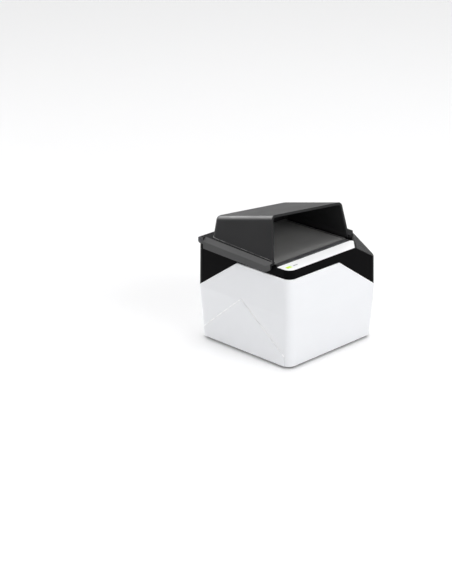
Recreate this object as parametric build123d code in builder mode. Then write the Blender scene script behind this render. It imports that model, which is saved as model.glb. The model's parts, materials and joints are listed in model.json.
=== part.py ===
"""Compact travel document scanner with a hinged light hood.

Millimetres, +Z up. The origin is the centre of the foot mat's underside, on the surface it stands on.
The label strip and the hood's mouth face -Y, the face with the raised chevron faces -X.
"""

import os

from build123d import *

os.makedirs("parts", exist_ok=True)

# Case
case_width = 104.4
case_depth = 105.4
belt_height = 46.0
top_height = 84.2
case_floor = 2.0
foot_inset = 2.4
crown_inset = 0.6
case_corner_radius = 7.0
least_corner_radius = 1.6
lower_wall = 2.4
upper_wall = 3.0
upper_step = 0.35
roof_thickness = 4.0

# Peaked rim between the white and the black shell
rim_drop = 7.6
rim_low_drop = 1.5
peak_x_inset = 46.4
peak_y_inset = 46.9
parting_gap = 0.35
tongue_gap = 0.25
tongue_thickness = 1.5
tongue_depth = 4.0
tongue_root = 3.0

# Facet on the front right corner
facet_run = 26.4
facet_drop = 15.6
facet_round = 5.0

# Raised chevron on the left face
chevron_apex_y = 0.4
chevron_apex_rise = 2.5
chevron_foot_z = 11.0
chevron_end_inset = 6.7
chevron_rise = 0.45

# Base
plate_thickness = 3.6
plate_rim_inset = 1.4
plate_rim_height = 1.1
plate_fit = 0.3
mat_side_inset = 10.2
mat_end_inset = 13.7
mat_thickness = 1.6
mat_radius = 8.0
mat_fit = 0.15

# Columns, bosses and their screws
front_column_inset = 23.0
rear_column_inset = 8.5
row_inset = 8.5
column_radius = 4.2
column_split_z = 36.0
column_web_z = 30.0
screw_radius = 1.5
screw_head_radius = 2.8
screw_head_height = 1.8
screw_clearance = 0.2
thread_fit = 0.05
bore_end = 1.0
driver_radius = 3.3
screw_bite = 12.0
base_boss_radius = 3.6
base_boss_height = 11.0
base_screw_bite = 8.0
web_thickness = 2.4

# Window
window_left_margin = 3.55
window_right_margin = 15.95
window_rear_margin = 15.55
window_front_gap = 1.05
window_fit = 0.25
window_radius = 1.5
glass_thickness = 2.0
glass_depth = 0.2
gasket_thickness = 0.6
gasket_width = 2.2
bezel_width = 1.4
bezel_lap = 0.8
bezel_rise = 0.35
bezel_fit = 0.1

# Label strip and ribbed strip
strip_depth = 13.5
strip_margin = 0.5
strip_facet_margin = 0.8
strip_thickness = 0.9
strip_proud = 0.25
strip_radius = 2.0
strip_fit = 0.1
ribs_depth = 4.4
ribs_gap = 0.5
ribs_sole = 0.8
rib_pitch = 2.4
rib_width = 1.2
rib_rise = 0.35

# Status lights
light_inset = 6.05
light_length = 5.0
light_width = 3.0
busy_offset = 7.4
busy_length = 4.8
busy_width = 1.2
light_fit = 0.1
light_flange = 1.0
light_pipe_foot = 2.0
lamp_chip = 1.0
lamp_chip_size = 1.6
status_board_thickness = 1.2
status_board_overhang = 0.15
status_board_width = 6.0

# Hood frame
frame_right_margin = 5.4
frame_rear_margin = 6.4
frame_label_gap = 1.55
frame_lift = 0.8
frame_front_thickness = 2.5
frame_rear_thickness = 5.6
frame_corner_radius = 8.0
frame_back_radius = 0.8
frame_facet_margin = 0.6
frame_slant_run = 3.2
frame_slant_drop = 3.2
skirt_gap = 0.8
skirt_thickness = 2.5
skirt_front_drop = 5.3
skirt_rear_drop = 3.0
skirt_end = 6.0
pad_thickness = 0.5
pad_length = 10.0
pad_width = 2.6
pad_end = 8.0
seal_depth = 1.6
seal_gap = 0.3

# Hood tunnel
hood_left_ledge = 4.1
hood_right_ledge = 8.5
hood_front_ledge = 3.0
hood_rear_ledge = 8.5
hood_wall = 2.0
hood_converge = 0.6
hood_front_height = 34.8
hood_rear_height = 19.8
hood_cross_slope = 0.10
hood_side_draft = 0.15
hood_mouth_lean = 0.17
hood_rear_draft = 0.10
hood_crown_radius = 4.5
hood_back_radius = 6.0
spigot_step = 1.0
spigot_fit = 0.1
spigot_foot = 0.3

# Hinge
ear_width = 8.0
ear_gap = 0.4
ear_radius = 2.5
ear_slot_fit = 0.15
notch_depth = 7.2
pin_radius = 1.25
pin_fit = 0.05
pin_press = 0.02
pin_head_radius = 1.9
pin_head_depth = 1.0
pin_reach = 6.0
bush_wall = 0.5
bracket_foot_width = 17.0
bracket_column_gap = 0.65
bracket_foot_depth = 8.0
bracket_foot_thickness = 2.0
bracket_screw_offset = 6.3
bracket_screw_radius = 1.0
bracket_screw_head = 1.8
bracket_screw_head_height = 1.2
bracket_screw_bite = 2.8

# Light chamber
chamber_wall = 1.5
chamber_mouth_gap = 0.2
chamber_low_width = 50.0
chamber_low_depth = 40.0
chamber_low_z = 28.0
chamber_floor = 2.0
chamber_hole_radius = 7.6

# Lamps
lamp_board_width = 9.0
lamp_board_length = 32.0
lamp_board_thickness = 1.2
lamp_offset = 17.0
lamp_count = 4
lamp_size = 3.0
lamp_height = 1.4
lamp_pitch = 6.4
diffuser_width = 8.0
diffuser_length = 27.0
diffuser_wall = 0.8
diffuser_height = 4.0
lead_width = 5.0
lead_thickness = 0.5
lead_gap = 1.7
lead_lap = 1.6
lead_fit = 0.2

# Boards
board_thickness = 1.6
main_board_z = 8.0
main_board_side_gap = 1.3
main_board_front_gap = 4.8
main_board_rear_gap = 0.9
board_corner = 2.0
standoff_radius = 2.6
board_screw_inset = 4.0
board_screw_radius = 1.2
board_screw_head = 2.2
board_screw_head_height = 1.3
board_screw_bite = 2.8
sensor_board_z = 14.4
sensor_board_width = 40.0
sensor_board_depth = 34.0
sensor_standoff_inset = 3.2
sensor_standoff_radius = 2.0
chip_height = 1.4
chip_margin = 2.0
chip_side_margin = 9.0
processor_size = 14.0
memory_width = 12.0
memory_depth = 9.0
ribbon_width = 14.0
ribbon_thickness = 0.4
ribbon_lap = 3.0
ribbon_gap = 0.6

# Camera
sensor_size = 9.0
sensor_height = 1.2
sensor_fit = 0.4
holder_base = 16.0
holder_base_height = 2.4
holder_radius = 7.2
holder_height = 7.0
barrel_radius = 6.0
barrel_fit = 0.05
barrel_lip_radius = 6.9
barrel_lip_height = 1.6
barrel_length = 11.0
barrel_bore = 3.6
barrel_lift = 2.4
lens_radius = 4.6
lens_edge = 1.0
lens_crown = 1.3

# Rear socket
socket_boss_gap = 0.4
socket_width = 12.0
socket_height = 10.9
socket_length = 16.0
socket_cavity_width = 8.6
socket_cavity_height = 7.8
socket_cavity_depth = 9.0
socket_tongue_width = 5.6
socket_tongue_height = 3.2
socket_fit = 0.3
socket_setback = 0.2

# Places worked out from the values above
belt_floor_span = belt_height - case_floor
belt_top_span = top_height - belt_height
top_half_width = case_width / 2 - crown_inset - upper_step
top_half_depth = case_depth / 2 - crown_inset - upper_step
roof_under = top_height - roof_thickness
reach = case_width + case_depth
rim_height = top_height - rim_drop
rim_low_height = belt_height - rim_low_drop
peak_x = case_width / 2 - peak_x_inset
peak_y = case_depth / 2 - peak_y_inset
rim_slope_x = (rim_height - rim_low_height) / peak_x_inset
rim_slope_y = (rim_height - rim_low_height) / peak_y_inset
chevron_apex_z = belt_height + chevron_apex_rise
chevron_half_width = case_depth / 2 - chevron_end_inset
mat_width = case_width - 2 * mat_side_inset
mat_depth = case_depth - 2 * mat_end_inset
facet_normal = Vector(1, -1, facet_run / facet_drop).normalized()
facet_point = Vector(top_half_width - facet_run, -top_half_depth, top_height)
facet_line = top_half_width + top_half_depth - facet_run
plate_low = case_floor - plate_rim_height
plate_top = plate_low + plate_thickness
row_y = case_depth / 2 - row_inset
front_column_x = case_width / 2 - front_column_inset
rear_column_x = case_width / 2 - rear_column_inset
column_spots = [
    (-front_column_x, -row_y),
    (front_column_x, -row_y),
    (-rear_column_x, row_y),
    (rear_column_x, row_y),
]
base_screw_spots = [
    (-rear_column_x, -row_y),
    (rear_column_x, -row_y),
    (-front_column_x, row_y),
    (front_column_x, row_y),
]
strip_left = -(top_half_width - strip_margin)
strip_front = -(top_half_depth - strip_margin)
strip_rear = strip_front + strip_depth
strip_top = top_height + strip_proud
strip_under = strip_top - strip_thickness
strip_end_line = facet_line - strip_facet_margin
ribs_front = strip_rear + ribs_gap
light_x = strip_left + light_inset
light_y = (strip_front + strip_rear) / 2
busy_x = light_x + busy_offset
window_left = -top_half_width + window_left_margin
window_right = top_half_width - window_right_margin
window_front = ribs_front + ribs_depth + window_front_gap
window_rear = top_half_depth - window_rear_margin
window_width = window_right - window_left
window_depth = window_rear - window_front
window_x = (window_left + window_right) / 2
window_y = (window_front + window_rear) / 2
glass_top = top_height - glass_depth
glass_under = glass_top - glass_thickness
gasket_under = glass_under - gasket_thickness
frame_left = case_width / 2 + skirt_gap + skirt_thickness
frame_right = case_width / 2 - frame_right_margin
frame_front = -(strip_rear + frame_label_gap)
frame_rear = case_depth / 2 - frame_rear_margin
frame_under = top_height + frame_lift
skirt_front_z = top_height - skirt_front_drop
skirt_rear_z = top_height - skirt_rear_drop
hinge_radius = frame_rear_thickness / 2
hinge_y = frame_rear - hinge_radius
hinge_z = frame_under + hinge_radius
frame_slope = (frame_rear_thickness - frame_front_thickness) / (frame_front + hinge_y)
frame_end_line = facet_line - frame_facet_margin
slant_normal = Vector(-frame_slant_drop, -frame_slope * frame_slant_run, frame_slant_run).normalized()
slant_point = Vector(-frame_left, -frame_front, frame_under + frame_front_thickness - frame_slant_drop)
ear_middle = (frame_right - frame_left) / 2
left_ear = column_radius + bracket_column_gap + bracket_foot_width / 2 - rear_column_x
ear_spots = {"left": left_ear, "right": 2 * ear_middle - left_ear}
bracket_foot_y = hinge_y + ear_radius - bracket_foot_depth / 2
bracket_foot_z = roof_under - bracket_foot_thickness
hood_left = frame_left - hood_left_ledge
hood_right = frame_right - hood_right_ledge
hood_front = frame_front - hood_front_ledge
hood_rear = frame_rear - hood_rear_ledge
hood_front_top_z = top_height + hood_front_height
hood_rear_top_z = top_height + hood_rear_height
hood_front_top_y = -hood_front + hood_mouth_lean * (hood_front_top_z - frame_under)
hood_rear_top_y = hood_rear - hood_rear_draft * (hood_rear_top_z - frame_under)
crown_slope = (hood_front_top_z - hood_rear_top_z) / (hood_rear_top_y - hood_front_top_y)
crown_normal = Vector(hood_cross_slope, crown_slope, 1).normalized()
crown_point = Vector((hood_right - hood_left) / 2, hood_front_top_y, hood_front_top_z)
chamber_low = chamber_low_z + chamber_floor
lamp_board_top = chamber_low + lamp_board_thickness
main_board_top = main_board_z + board_thickness
sensor_board_top = sensor_board_z + board_thickness
holder_tube_z = sensor_board_top + holder_base_height
holder_top = holder_tube_z + holder_height
barrel_lip_z = holder_top + barrel_lift
barrel_top = barrel_lip_z + barrel_lip_height
barrel_low = barrel_top - barrel_length
lens_low = barrel_top - lens_crown - lens_edge
lead_y = window_y - lamp_board_length / 2 - lead_gap
ribbon_y = window_y + sensor_board_depth / 2 + ribbon_gap
window_light_width = window_width - 2 * gasket_width
window_light_depth = window_depth - 2 * gasket_width
chamber_top_width = window_light_width + 2 * (chamber_wall + chamber_mouth_gap)
chamber_top_depth = window_light_depth + 2 * (chamber_wall + chamber_mouth_gap)
main_board_half_width = rear_column_x - column_radius - main_board_side_gap
main_board_front = row_y - column_radius - main_board_front_gap
main_board_rear = row_y - base_boss_radius - main_board_rear_gap
socket_x = front_column_x - base_boss_radius - socket_boss_gap - socket_width / 2


def case_inset(z, extra):
    """How far the case's side stands in from the belt at height z, plus extra."""
    if z < belt_height:
        return foot_inset * (belt_height - z) / belt_floor_span + extra
    return crown_inset * (z - belt_height) / belt_top_span + extra


def case_block(extra, low, high):
    """The solid shape of the case between two heights, drawn in by extra."""
    with BuildPart() as block:
        for start, end in ((low, belt_height), (belt_height, high)):
            for z in (start, end):
                inset = case_inset(z, extra)
                with BuildSketch(Plane.XY.offset(z)):
                    RectangleRounded(
                        case_width - 2 * inset,
                        case_depth - 2 * inset,
                        max(case_corner_radius - extra, least_corner_radius),
                    )
            loft()
    return block.part


def above_rim(lift):
    """Everything above the peaked rim, raised by lift."""
    ridge = rim_height + lift
    sky = top_height + reach
    with BuildPart() as region:
        for plane, peak, slope in ((Plane.XZ, peak_x, rim_slope_x), (Plane.YZ, peak_y, rim_slope_y)):
            with BuildSketch(plane):
                with BuildLine():
                    Polyline(
                        (peak, ridge),
                        (peak + reach, ridge - reach * slope),
                        (peak + reach, sky),
                        (peak, sky),
                        close=True,
                    )
                make_face()
            extrude(amount=reach, both=True)
        with BuildSketch(Plane.XY.offset(ridge)):
            Rectangle(2 * reach, 2 * reach)
        extrude(amount=sky - ridge)
    return region.part


def beyond_facet(depth):
    """Everything outside the front right facet's plane, moved inwards by depth."""
    with BuildPart() as region:
        with BuildSketch(Plane(origin=facet_point - facet_normal * depth, z_dir=facet_normal)):
            Rectangle(2 * reach, 2 * reach)
        extrude(amount=reach)
    return region.part


def block_at(x, y, z, width, depth, height):
    """A plain block that stands on height z, centred on x and y."""
    with BuildPart() as block:
        with BuildSketch(Plane.XY.offset(z)):
            with Locations((x, y)):
                Rectangle(width, depth)
        extrude(amount=height)
    return block.part


def rounds_at(spots, radius, low, high):
    """Round upright bars at the given spots, between two heights."""
    with BuildPart() as bars:
        with BuildSketch(Plane.XY.offset(low)):
            with Locations(*spots):
                Circle(radius)
        extrude(amount=high - low)
    return bars.part


def rod_along_x(start, end, radius):
    """A round bar along the hinge line between two places on X."""
    with BuildPart() as rod:
        with BuildSketch(Plane.YZ.offset(start)):
            with Locations((hinge_y, hinge_z)):
                Circle(radius)
        extrude(amount=end - start)
    return rod.part


def window_block(width, depth, low, high, radius):
    """A block with rounded corners, centred under the window, between two heights."""
    with BuildPart() as block:
        with BuildSketch(Plane.XY.offset(low)):
            with Locations((window_x, window_y)):
                RectangleRounded(width, depth, radius)
        extrude(amount=high - low)
    return block.part


def label_block(grow, low, high):
    """The label strip's outline, grown all round, as a block between two heights."""
    front_end = strip_end_line + strip_front
    with BuildPart() as block:
        with BuildSketch(Plane.XY.offset(low)) as outline:
            with BuildLine():
                Polyline(
                    (strip_left, strip_front),
                    (front_end, strip_front),
                    (strip_end_line + strip_rear, strip_rear),
                    (strip_left, strip_rear),
                    close=True,
                )
            make_face()
            near_corner = outline.vertices().sort_by_distance((strip_left, strip_front, 0))[0]
            fillet(near_corner, radius=case_corner_radius - upper_step - strip_margin)
            right_corners = outline.vertices().group_by(Axis.X)[-1]
            front_corner = outline.vertices().sort_by_distance((front_end, strip_front, 0))[:1]
            fillet(right_corners + front_corner, radius=strip_radius)
            if grow:
                offset(amount=grow)
        extrude(amount=high - low)
    return block.part


def screws_at(spots, seat, shaft_radius, head_radius, head_height, length, up):
    """A group of screws whose heads rest on height seat, with the shafts going up or down."""
    way = 1 if up else -1
    with BuildPart() as screws:
        with BuildSketch(Plane.XY.offset(seat)):
            with Locations(*spots):
                Circle(head_radius)
        extrude(amount=-way * head_height)
        with BuildSketch(Plane.XY.offset(seat)):
            with Locations(*spots):
                Circle(shaft_radius)
        extrude(amount=way * length)
    return screws.part


def side_x(side, y, z, extra):
    """Where the tunnel's left (-1) or right (1) wall plane lies, drawn in by extra."""
    start = hood_left if side < 0 else hood_right
    converge = hood_converge * (y + hood_front) / (hood_front + hood_rear)
    return side * (start - extra - converge - hood_side_draft * (z - frame_under))


def tunnel_block(extra, low, mouth_reach):
    """The tunnel's wedge, drawn in by extra, from height low to its crown and reaching out at the mouth."""
    sky = hood_front_top_z + hood_cross_slope * case_width
    with BuildPart() as block:
        for z in (low, sky):
            front = -hood_front - mouth_reach + hood_mouth_lean * (z - frame_under)
            rear = hood_rear - extra - hood_rear_draft * (z - frame_under)
            with BuildSketch(Plane.XY.offset(z)):
                with BuildLine():
                    Polyline(
                        (side_x(-1, front, z, extra), front),
                        (side_x(1, front, z, extra), front),
                        (side_x(1, rear, z, extra), rear),
                        (side_x(-1, rear, z, extra), rear),
                        close=True,
                    )
                make_face()
        loft(ruled=True)
        with BuildSketch(Plane(origin=crown_point - crown_normal * extra, z_dir=crown_normal)):
            Rectangle(2 * reach, 2 * reach)
        extrude(amount=reach, mode=Mode.SUBTRACT)
        low_face = block.faces().sort_by(Axis.Z)[0]
        mouth_face = block.faces().sort_by(Axis.Y)[0]
        crown_face = block.faces().sort_by(Axis.Z)[-1]
        fillet(
            block.edges() - low_face.edges() - mouth_face.edges() - crown_face.edges(),
            radius=hood_back_radius - extra,
        )
        mouth_face = block.faces().sort_by(Axis.Y)[0]
        crown_face = block.faces().sort_by(Axis.Z)[-1]
        fillet(crown_face.edges() - mouth_face.edges(), radius=hood_crown_radius - extra)
    return block.part


def above_frame(lift):
    """Everything above the hood frame's sloping top, raised by lift."""
    front_z = frame_under + frame_front_thickness + lift
    with BuildPart() as region:
        with BuildSketch(Plane.YZ):
            with BuildLine():
                Polyline(
                    (-frame_front - reach, front_z - reach * frame_slope),
                    (-frame_front + reach, front_z + reach * frame_slope),
                    (-frame_front + reach, front_z + reach),
                    (-frame_front - reach, front_z + reach),
                    close=True,
                )
            make_face()
        extrude(amount=reach, both=True)
    return region.part


def finish(builder, name):
    """Labels a finished piece and writes it out."""
    builder.part.label = name
    export_step(builder.part, f"parts/{name}.step")


# White lower shell with the chevron, its columns and its bosses
socket_face_y = case_depth / 2 - case_inset(main_board_top, 0) - socket_setback

with BuildPart() as chevron:
    with BuildSketch(Plane.YZ.offset(-case_width / 2 - chevron_rise)):
        with BuildLine():
            Polyline(
                (chevron_apex_y, chevron_apex_z),
                (chevron_apex_y + chevron_half_width, chevron_foot_z),
                (chevron_apex_y + chevron_half_width, case_floor),
                (chevron_apex_y - chevron_half_width, case_floor),
                (chevron_apex_y - chevron_half_width, chevron_foot_z),
                close=True,
            )
        make_face()
    extrude(amount=chevron_rise + foot_inset + lower_wall)

with BuildPart() as lower_shell:
    add(chevron.part)
    add(case_block(-chevron_rise, case_floor, top_height), mode=Mode.INTERSECT)
    add(case_block(0, case_floor, top_height))
    add(above_rim(0), mode=Mode.SUBTRACT)
    add(case_block(lower_wall, case_floor - plate_rim_height, top_height + lower_wall), mode=Mode.SUBTRACT)
    add(rounds_at(column_spots, column_radius, plate_top, column_split_z))
    add(rounds_at(base_screw_spots, base_boss_radius, plate_top, plate_top + base_boss_height))
    for x, y in column_spots:
        web = row_inset - lower_wall
        web_y = y + web / 2 * y / abs(y)
        add(block_at(x, web_y, plate_top, web_thickness, web, column_split_z - plate_top))
    for x, y in base_screw_spots:
        web = row_inset - lower_wall
        web_y = y + web / 2 * y / abs(y)
        add(block_at(x, web_y, plate_top, web_thickness, web, base_boss_height))
    add(rounds_at(column_spots, driver_radius, plate_top, column_web_z), mode=Mode.SUBTRACT)
    add(
        rounds_at(column_spots, screw_radius + screw_clearance, column_web_z, column_split_z),
        mode=Mode.SUBTRACT,
    )
    add(
        rounds_at(
            base_screw_spots, screw_radius + thread_fit, plate_top, plate_top + base_screw_bite + bore_end
        ),
        mode=Mode.SUBTRACT,
    )
    add(
        block_at(
            socket_x,
            case_depth / 2,
            main_board_top - socket_fit,
            socket_width + 2 * socket_fit,
            4 * lower_wall,
            socket_height + 2 * socket_fit,
        ),
        mode=Mode.SUBTRACT,
    )
finish(lower_shell, "lower_shell")


# Black upper shell with the roof
with BuildPart() as upper_outer:
    add(case_block(upper_step, case_floor, top_height))
    add(beyond_facet(0), mode=Mode.SUBTRACT)
    facet_edge = upper_outer.faces().sort_by(Axis.Z)[-1].edges().sort_by_distance(
        facet_point + Vector(facet_run / 2, facet_run / 2, 0)
    )[0]
    fillet(facet_edge, radius=facet_round)

with BuildPart() as tongue:
    add(case_block(lower_wall + tongue_gap, case_floor, top_height))
    add(above_rim(-tongue_depth), mode=Mode.INTERSECT)
    add(above_rim(tongue_root), mode=Mode.SUBTRACT)
    tongue_inset = lower_wall + tongue_gap + tongue_thickness
    add(case_block(tongue_inset, case_floor - upper_wall, top_height + upper_wall), mode=Mode.SUBTRACT)

with BuildPart() as upper_cavity:
    add(case_block(upper_step + upper_wall, case_floor - upper_wall, roof_under))
    add(beyond_facet(upper_wall), mode=Mode.SUBTRACT)

with BuildPart() as upper_columns:
    add(rounds_at(column_spots, column_radius, column_split_z, roof_under + roof_thickness / 2))
    add(beyond_facet(upper_wall / 2), mode=Mode.SUBTRACT)

with BuildPart() as upper_shell:
    add(upper_outer.part)
    add(above_rim(parting_gap), mode=Mode.INTERSECT)
    add(tongue.part)
    add(upper_cavity.part, mode=Mode.SUBTRACT)
    add(upper_columns.part)
    add(
        rounds_at(
            column_spots, screw_radius + thread_fit, column_split_z, column_split_z + screw_bite + bore_end
        ),
        mode=Mode.SUBTRACT,
    )
    add(
        window_block(
            window_width + 2 * window_fit,
            window_depth + 2 * window_fit,
            gasket_under,
            top_height,
            window_radius + window_fit,
        ),
        mode=Mode.SUBTRACT,
    )
    add(
        window_block(
            window_width + 2 * (bezel_width - bezel_lap + bezel_fit),
            window_depth + 2 * (bezel_width - bezel_lap + bezel_fit),
            glass_top,
            top_height,
            window_radius + bezel_width - bezel_lap + bezel_fit,
        ),
        mode=Mode.SUBTRACT,
    )
    add(
        window_block(window_light_width, window_light_depth, roof_under, gasket_under, window_radius),
        mode=Mode.SUBTRACT,
    )
    add(label_block(strip_fit, strip_under, top_height), mode=Mode.SUBTRACT)
    add(
        block_at(
            window_x,
            ribs_front + ribs_depth / 2,
            top_height - ribs_sole,
            window_width + 2 * strip_fit,
            ribs_depth + 2 * strip_fit,
            ribs_sole,
        ),
        mode=Mode.SUBTRACT,
    )
    for x, length, width in ((light_x, light_length, light_width), (busy_x, busy_length, busy_width)):
        add(
            block_at(
                x, light_y, roof_under, length + 2 * light_fit, width + 2 * light_fit, roof_thickness
            ),
            mode=Mode.SUBTRACT,
        )
    for x in ear_spots.values():
        add(
            block_at(
                x,
                hinge_y,
                roof_under,
                ear_width + 2 * ear_slot_fit,
                2 * (ear_radius + ear_slot_fit),
                roof_thickness,
            ),
            mode=Mode.SUBTRACT,
        )
        spots = [(x - bracket_screw_offset, bracket_foot_y), (x + bracket_screw_offset, bracket_foot_y)]
        add(
            rounds_at(spots, bracket_screw_radius + thread_fit, roof_under, roof_under + bracket_screw_bite),
            mode=Mode.SUBTRACT,
        )
finish(upper_shell, "upper_shell")


# Base plate, foot mat and the screws that close the case
with BuildPart() as base_plate:
    add(case_block(lower_wall + plate_fit, case_floor, top_height))
    add(
        block_at(0, 0, case_floor, case_width, case_depth, plate_top - case_floor),
        mode=Mode.INTERSECT,
    )
    rim_inset = case_inset(case_floor, plate_rim_inset)
    with BuildSketch(Plane.XY.offset(plate_low)):
        RectangleRounded(
            case_width - 2 * rim_inset,
            case_depth - 2 * rim_inset,
            case_corner_radius - plate_rim_inset,
        )
    extrude(amount=plate_rim_height)
    with BuildSketch(Plane.XY.offset(plate_low)):
        RectangleRounded(mat_width + 2 * mat_fit, mat_depth + 2 * mat_fit, mat_radius + mat_fit)
    extrude(amount=mat_thickness - plate_low, mode=Mode.SUBTRACT)
    add(rounds_at(column_spots, driver_radius, plate_low, plate_top), mode=Mode.SUBTRACT)
    add(
        rounds_at(base_screw_spots, screw_radius + screw_clearance, plate_low, plate_top),
        mode=Mode.SUBTRACT,
    )
    add(
        rounds_at(
            base_screw_spots, screw_head_radius + screw_clearance, plate_low, plate_low + screw_head_height
        ),
        mode=Mode.SUBTRACT,
    )
finish(base_plate, "base_plate")

with BuildPart() as foot_mat:
    with BuildSketch():
        RectangleRounded(mat_width, mat_depth, mat_radius)
    extrude(amount=mat_thickness)
finish(foot_mat, "foot_mat")

with BuildPart() as base_screws:
    base_seat = plate_low + screw_head_height
    base_length = plate_top + base_screw_bite - base_seat
    add(
        screws_at(
            base_screw_spots, base_seat, screw_radius, screw_head_radius, screw_head_height, base_length, True
        )
    )
finish(base_screws, "base_screws")

with BuildPart() as case_screws:
    case_length = column_split_z + screw_bite - column_web_z
    add(
        screws_at(
            column_spots, column_web_z, screw_radius, screw_head_radius, screw_head_height, case_length, True
        )
    )
finish(case_screws, "case_screws")


# Scanning window
with BuildPart() as window_glass:
    add(window_block(window_width, window_depth, glass_under, glass_top, window_radius))
finish(window_glass, "window_glass")

with BuildPart() as window_gasket:
    add(window_block(window_width, window_depth, gasket_under, glass_under, window_radius))
    add(
        window_block(window_light_width, window_light_depth, gasket_under, glass_under, window_radius),
        mode=Mode.SUBTRACT,
    )
finish(window_gasket, "window_gasket")

with BuildPart() as window_frame:
    bezel_out = bezel_width - bezel_lap
    add(
        window_block(
            window_width + 2 * bezel_out,
            window_depth + 2 * bezel_out,
            glass_top,
            top_height + bezel_rise,
            window_radius + bezel_out,
        )
    )
    add(
        window_block(
            window_width - 2 * bezel_lap,
            window_depth - 2 * bezel_lap,
            glass_top,
            top_height + bezel_rise,
            window_radius,
        ),
        mode=Mode.SUBTRACT,
    )
finish(window_frame, "window_frame")


# Label strip, ribbed strip and status lights
with BuildPart() as label_strip:
    add(label_block(0, strip_under, strip_top))
    for x, length, width in ((light_x, light_length, light_width), (busy_x, busy_length, busy_width)):
        add(
            block_at(
                x, light_y, strip_under, length + 2 * light_fit, width + 2 * light_fit, strip_thickness
            ),
            mode=Mode.SUBTRACT,
        )
finish(label_strip, "label_strip")

with BuildPart() as rib_strip:
    rib_count = int(window_width // rib_pitch)
    ribs_y = ribs_front + ribs_depth / 2
    add(block_at(window_x, ribs_y, top_height - ribs_sole, window_width, ribs_depth, ribs_sole))
    with BuildSketch(Plane.XY.offset(top_height)):
        with Locations((window_x, ribs_y)):
            with GridLocations(rib_pitch, 0, rib_count, 1):
                Rectangle(rib_width, ribs_depth)
    extrude(amount=rib_rise)
finish(rib_strip, "rib_strip")

pipe_low = roof_under - light_pipe_foot
for name, x, length, width in (
    ("ready_light_pipe", light_x, light_length, light_width),
    ("busy_light_pipe", busy_x, busy_length, busy_width),
):
    with BuildPart() as light_pipe:
        add(block_at(x, light_y, pipe_low, length, width, strip_top - pipe_low))
        add(block_at(x, light_y, pipe_low, length, width + 2 * light_flange, light_pipe_foot))
    finish(light_pipe, name)

with BuildPart() as status_board:
    status_left = light_x - light_length / 2 - status_board_overhang
    status_right = busy_x + busy_length / 2 + status_board_overhang
    status_top = pipe_low - lamp_chip
    add(
        block_at(
            (status_left + status_right) / 2,
            light_y,
            status_top - status_board_thickness,
            status_right - status_left,
            status_board_width,
            status_board_thickness,
        )
    )
    for x in (light_x, busy_x):
        add(block_at(x, light_y, status_top, lamp_chip_size, lamp_chip_size, lamp_chip))
finish(status_board, "status_board")


# Hood frame, hood, pads and seal
with BuildPart() as slant:
    with BuildSketch(Plane(origin=slant_point, z_dir=slant_normal)):
        Rectangle(2 * reach, 2 * reach)
    extrude(amount=reach)
    slant_rear = frame_rear - skirt_end
    add(
        block_at(-frame_left, slant_rear - reach / 2, skirt_front_z, frame_left, reach, top_height),
        mode=Mode.INTERSECT,
    )

with BuildPart() as hood_frame:
    with BuildSketch(Plane.YZ.offset(-frame_left)):
        with BuildLine():
            Polyline(
                (hinge_y, hinge_z - hinge_radius),
                (-frame_front, frame_under),
                (-frame_front, frame_under + frame_front_thickness),
                (hinge_y, hinge_z + hinge_radius),
            )
            ThreePointArc(
                (hinge_y, hinge_z + hinge_radius),
                (hinge_y + hinge_radius, hinge_z),
                (hinge_y, hinge_z - hinge_radius),
            )
        make_face()
    extrude(amount=frame_left + frame_right)
    with BuildSketch(Plane.YZ.offset(-frame_left)):
        with BuildLine():
            Polyline(
                (-frame_front, skirt_front_z),
                (frame_rear - skirt_end, skirt_rear_z),
                (frame_rear - skirt_end, hinge_z),
                (-frame_front, frame_under + frame_front_thickness / 2),
                close=True,
            )
        make_face()
    extrude(amount=skirt_thickness)
    with BuildSketch(Plane.XY.offset(skirt_front_z)) as frame_outline:
        with BuildLine():
            Polyline(
                (-frame_left, -frame_front),
                (frame_end_line - frame_front, -frame_front),
                (frame_right, frame_right - frame_end_line),
                (frame_right, frame_rear),
                (-frame_left, frame_rear),
                close=True,
            )
        make_face()
        near_corner = frame_outline.vertices().sort_by_distance((-frame_left, -frame_front, skirt_front_z))[0]
        fillet(near_corner, radius=frame_corner_radius)
        fillet(frame_outline.vertices().group_by(Axis.Y)[-1], radius=frame_back_radius)
    extrude(amount=hood_front_top_z - skirt_front_z, mode=Mode.INTERSECT)
    add(slant.part, mode=Mode.SUBTRACT)
    add(
        tunnel_block(spigot_step, frame_under - spigot_foot, hood_front_ledge + hood_wall), mode=Mode.SUBTRACT
    )
    for x in ear_spots.values():
        add(
            block_at(
                x,
                frame_rear,
                frame_under,
                ear_width + 2 * ear_gap,
                2 * notch_depth,
                frame_rear_thickness,
            ),
            mode=Mode.SUBTRACT,
        )
    left_bore_end = ear_spots["left"] + ear_width / 2 + ear_gap + pin_reach
    right_bore_end = ear_spots["right"] - ear_width / 2 - ear_gap - pin_reach
    add(rod_along_x(-frame_left, left_bore_end, pin_radius + pin_press), mode=Mode.SUBTRACT)
    add(rod_along_x(right_bore_end, frame_right, pin_radius + pin_press), mode=Mode.SUBTRACT)
    add(
        rod_along_x(-frame_left, -frame_left + pin_head_depth, pin_head_radius + pin_press),
        mode=Mode.SUBTRACT,
    )
    add(
        rod_along_x(frame_right - pin_head_depth, frame_right, pin_head_radius + pin_press),
        mode=Mode.SUBTRACT,
    )
finish(hood_frame, "hood_frame")

with BuildPart() as hood_cover:
    add(tunnel_block(0, frame_under, 0))
    add(above_frame(0), mode=Mode.INTERSECT)
    with BuildPart(mode=Mode.PRIVATE) as spigot:
        add(tunnel_block(spigot_step + spigot_fit, frame_under + spigot_foot, 0))
    add(spigot.part)
    add(tunnel_block(hood_wall, frame_under - hood_wall, hood_front), mode=Mode.SUBTRACT)
finish(hood_cover, "hood_cover")

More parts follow.
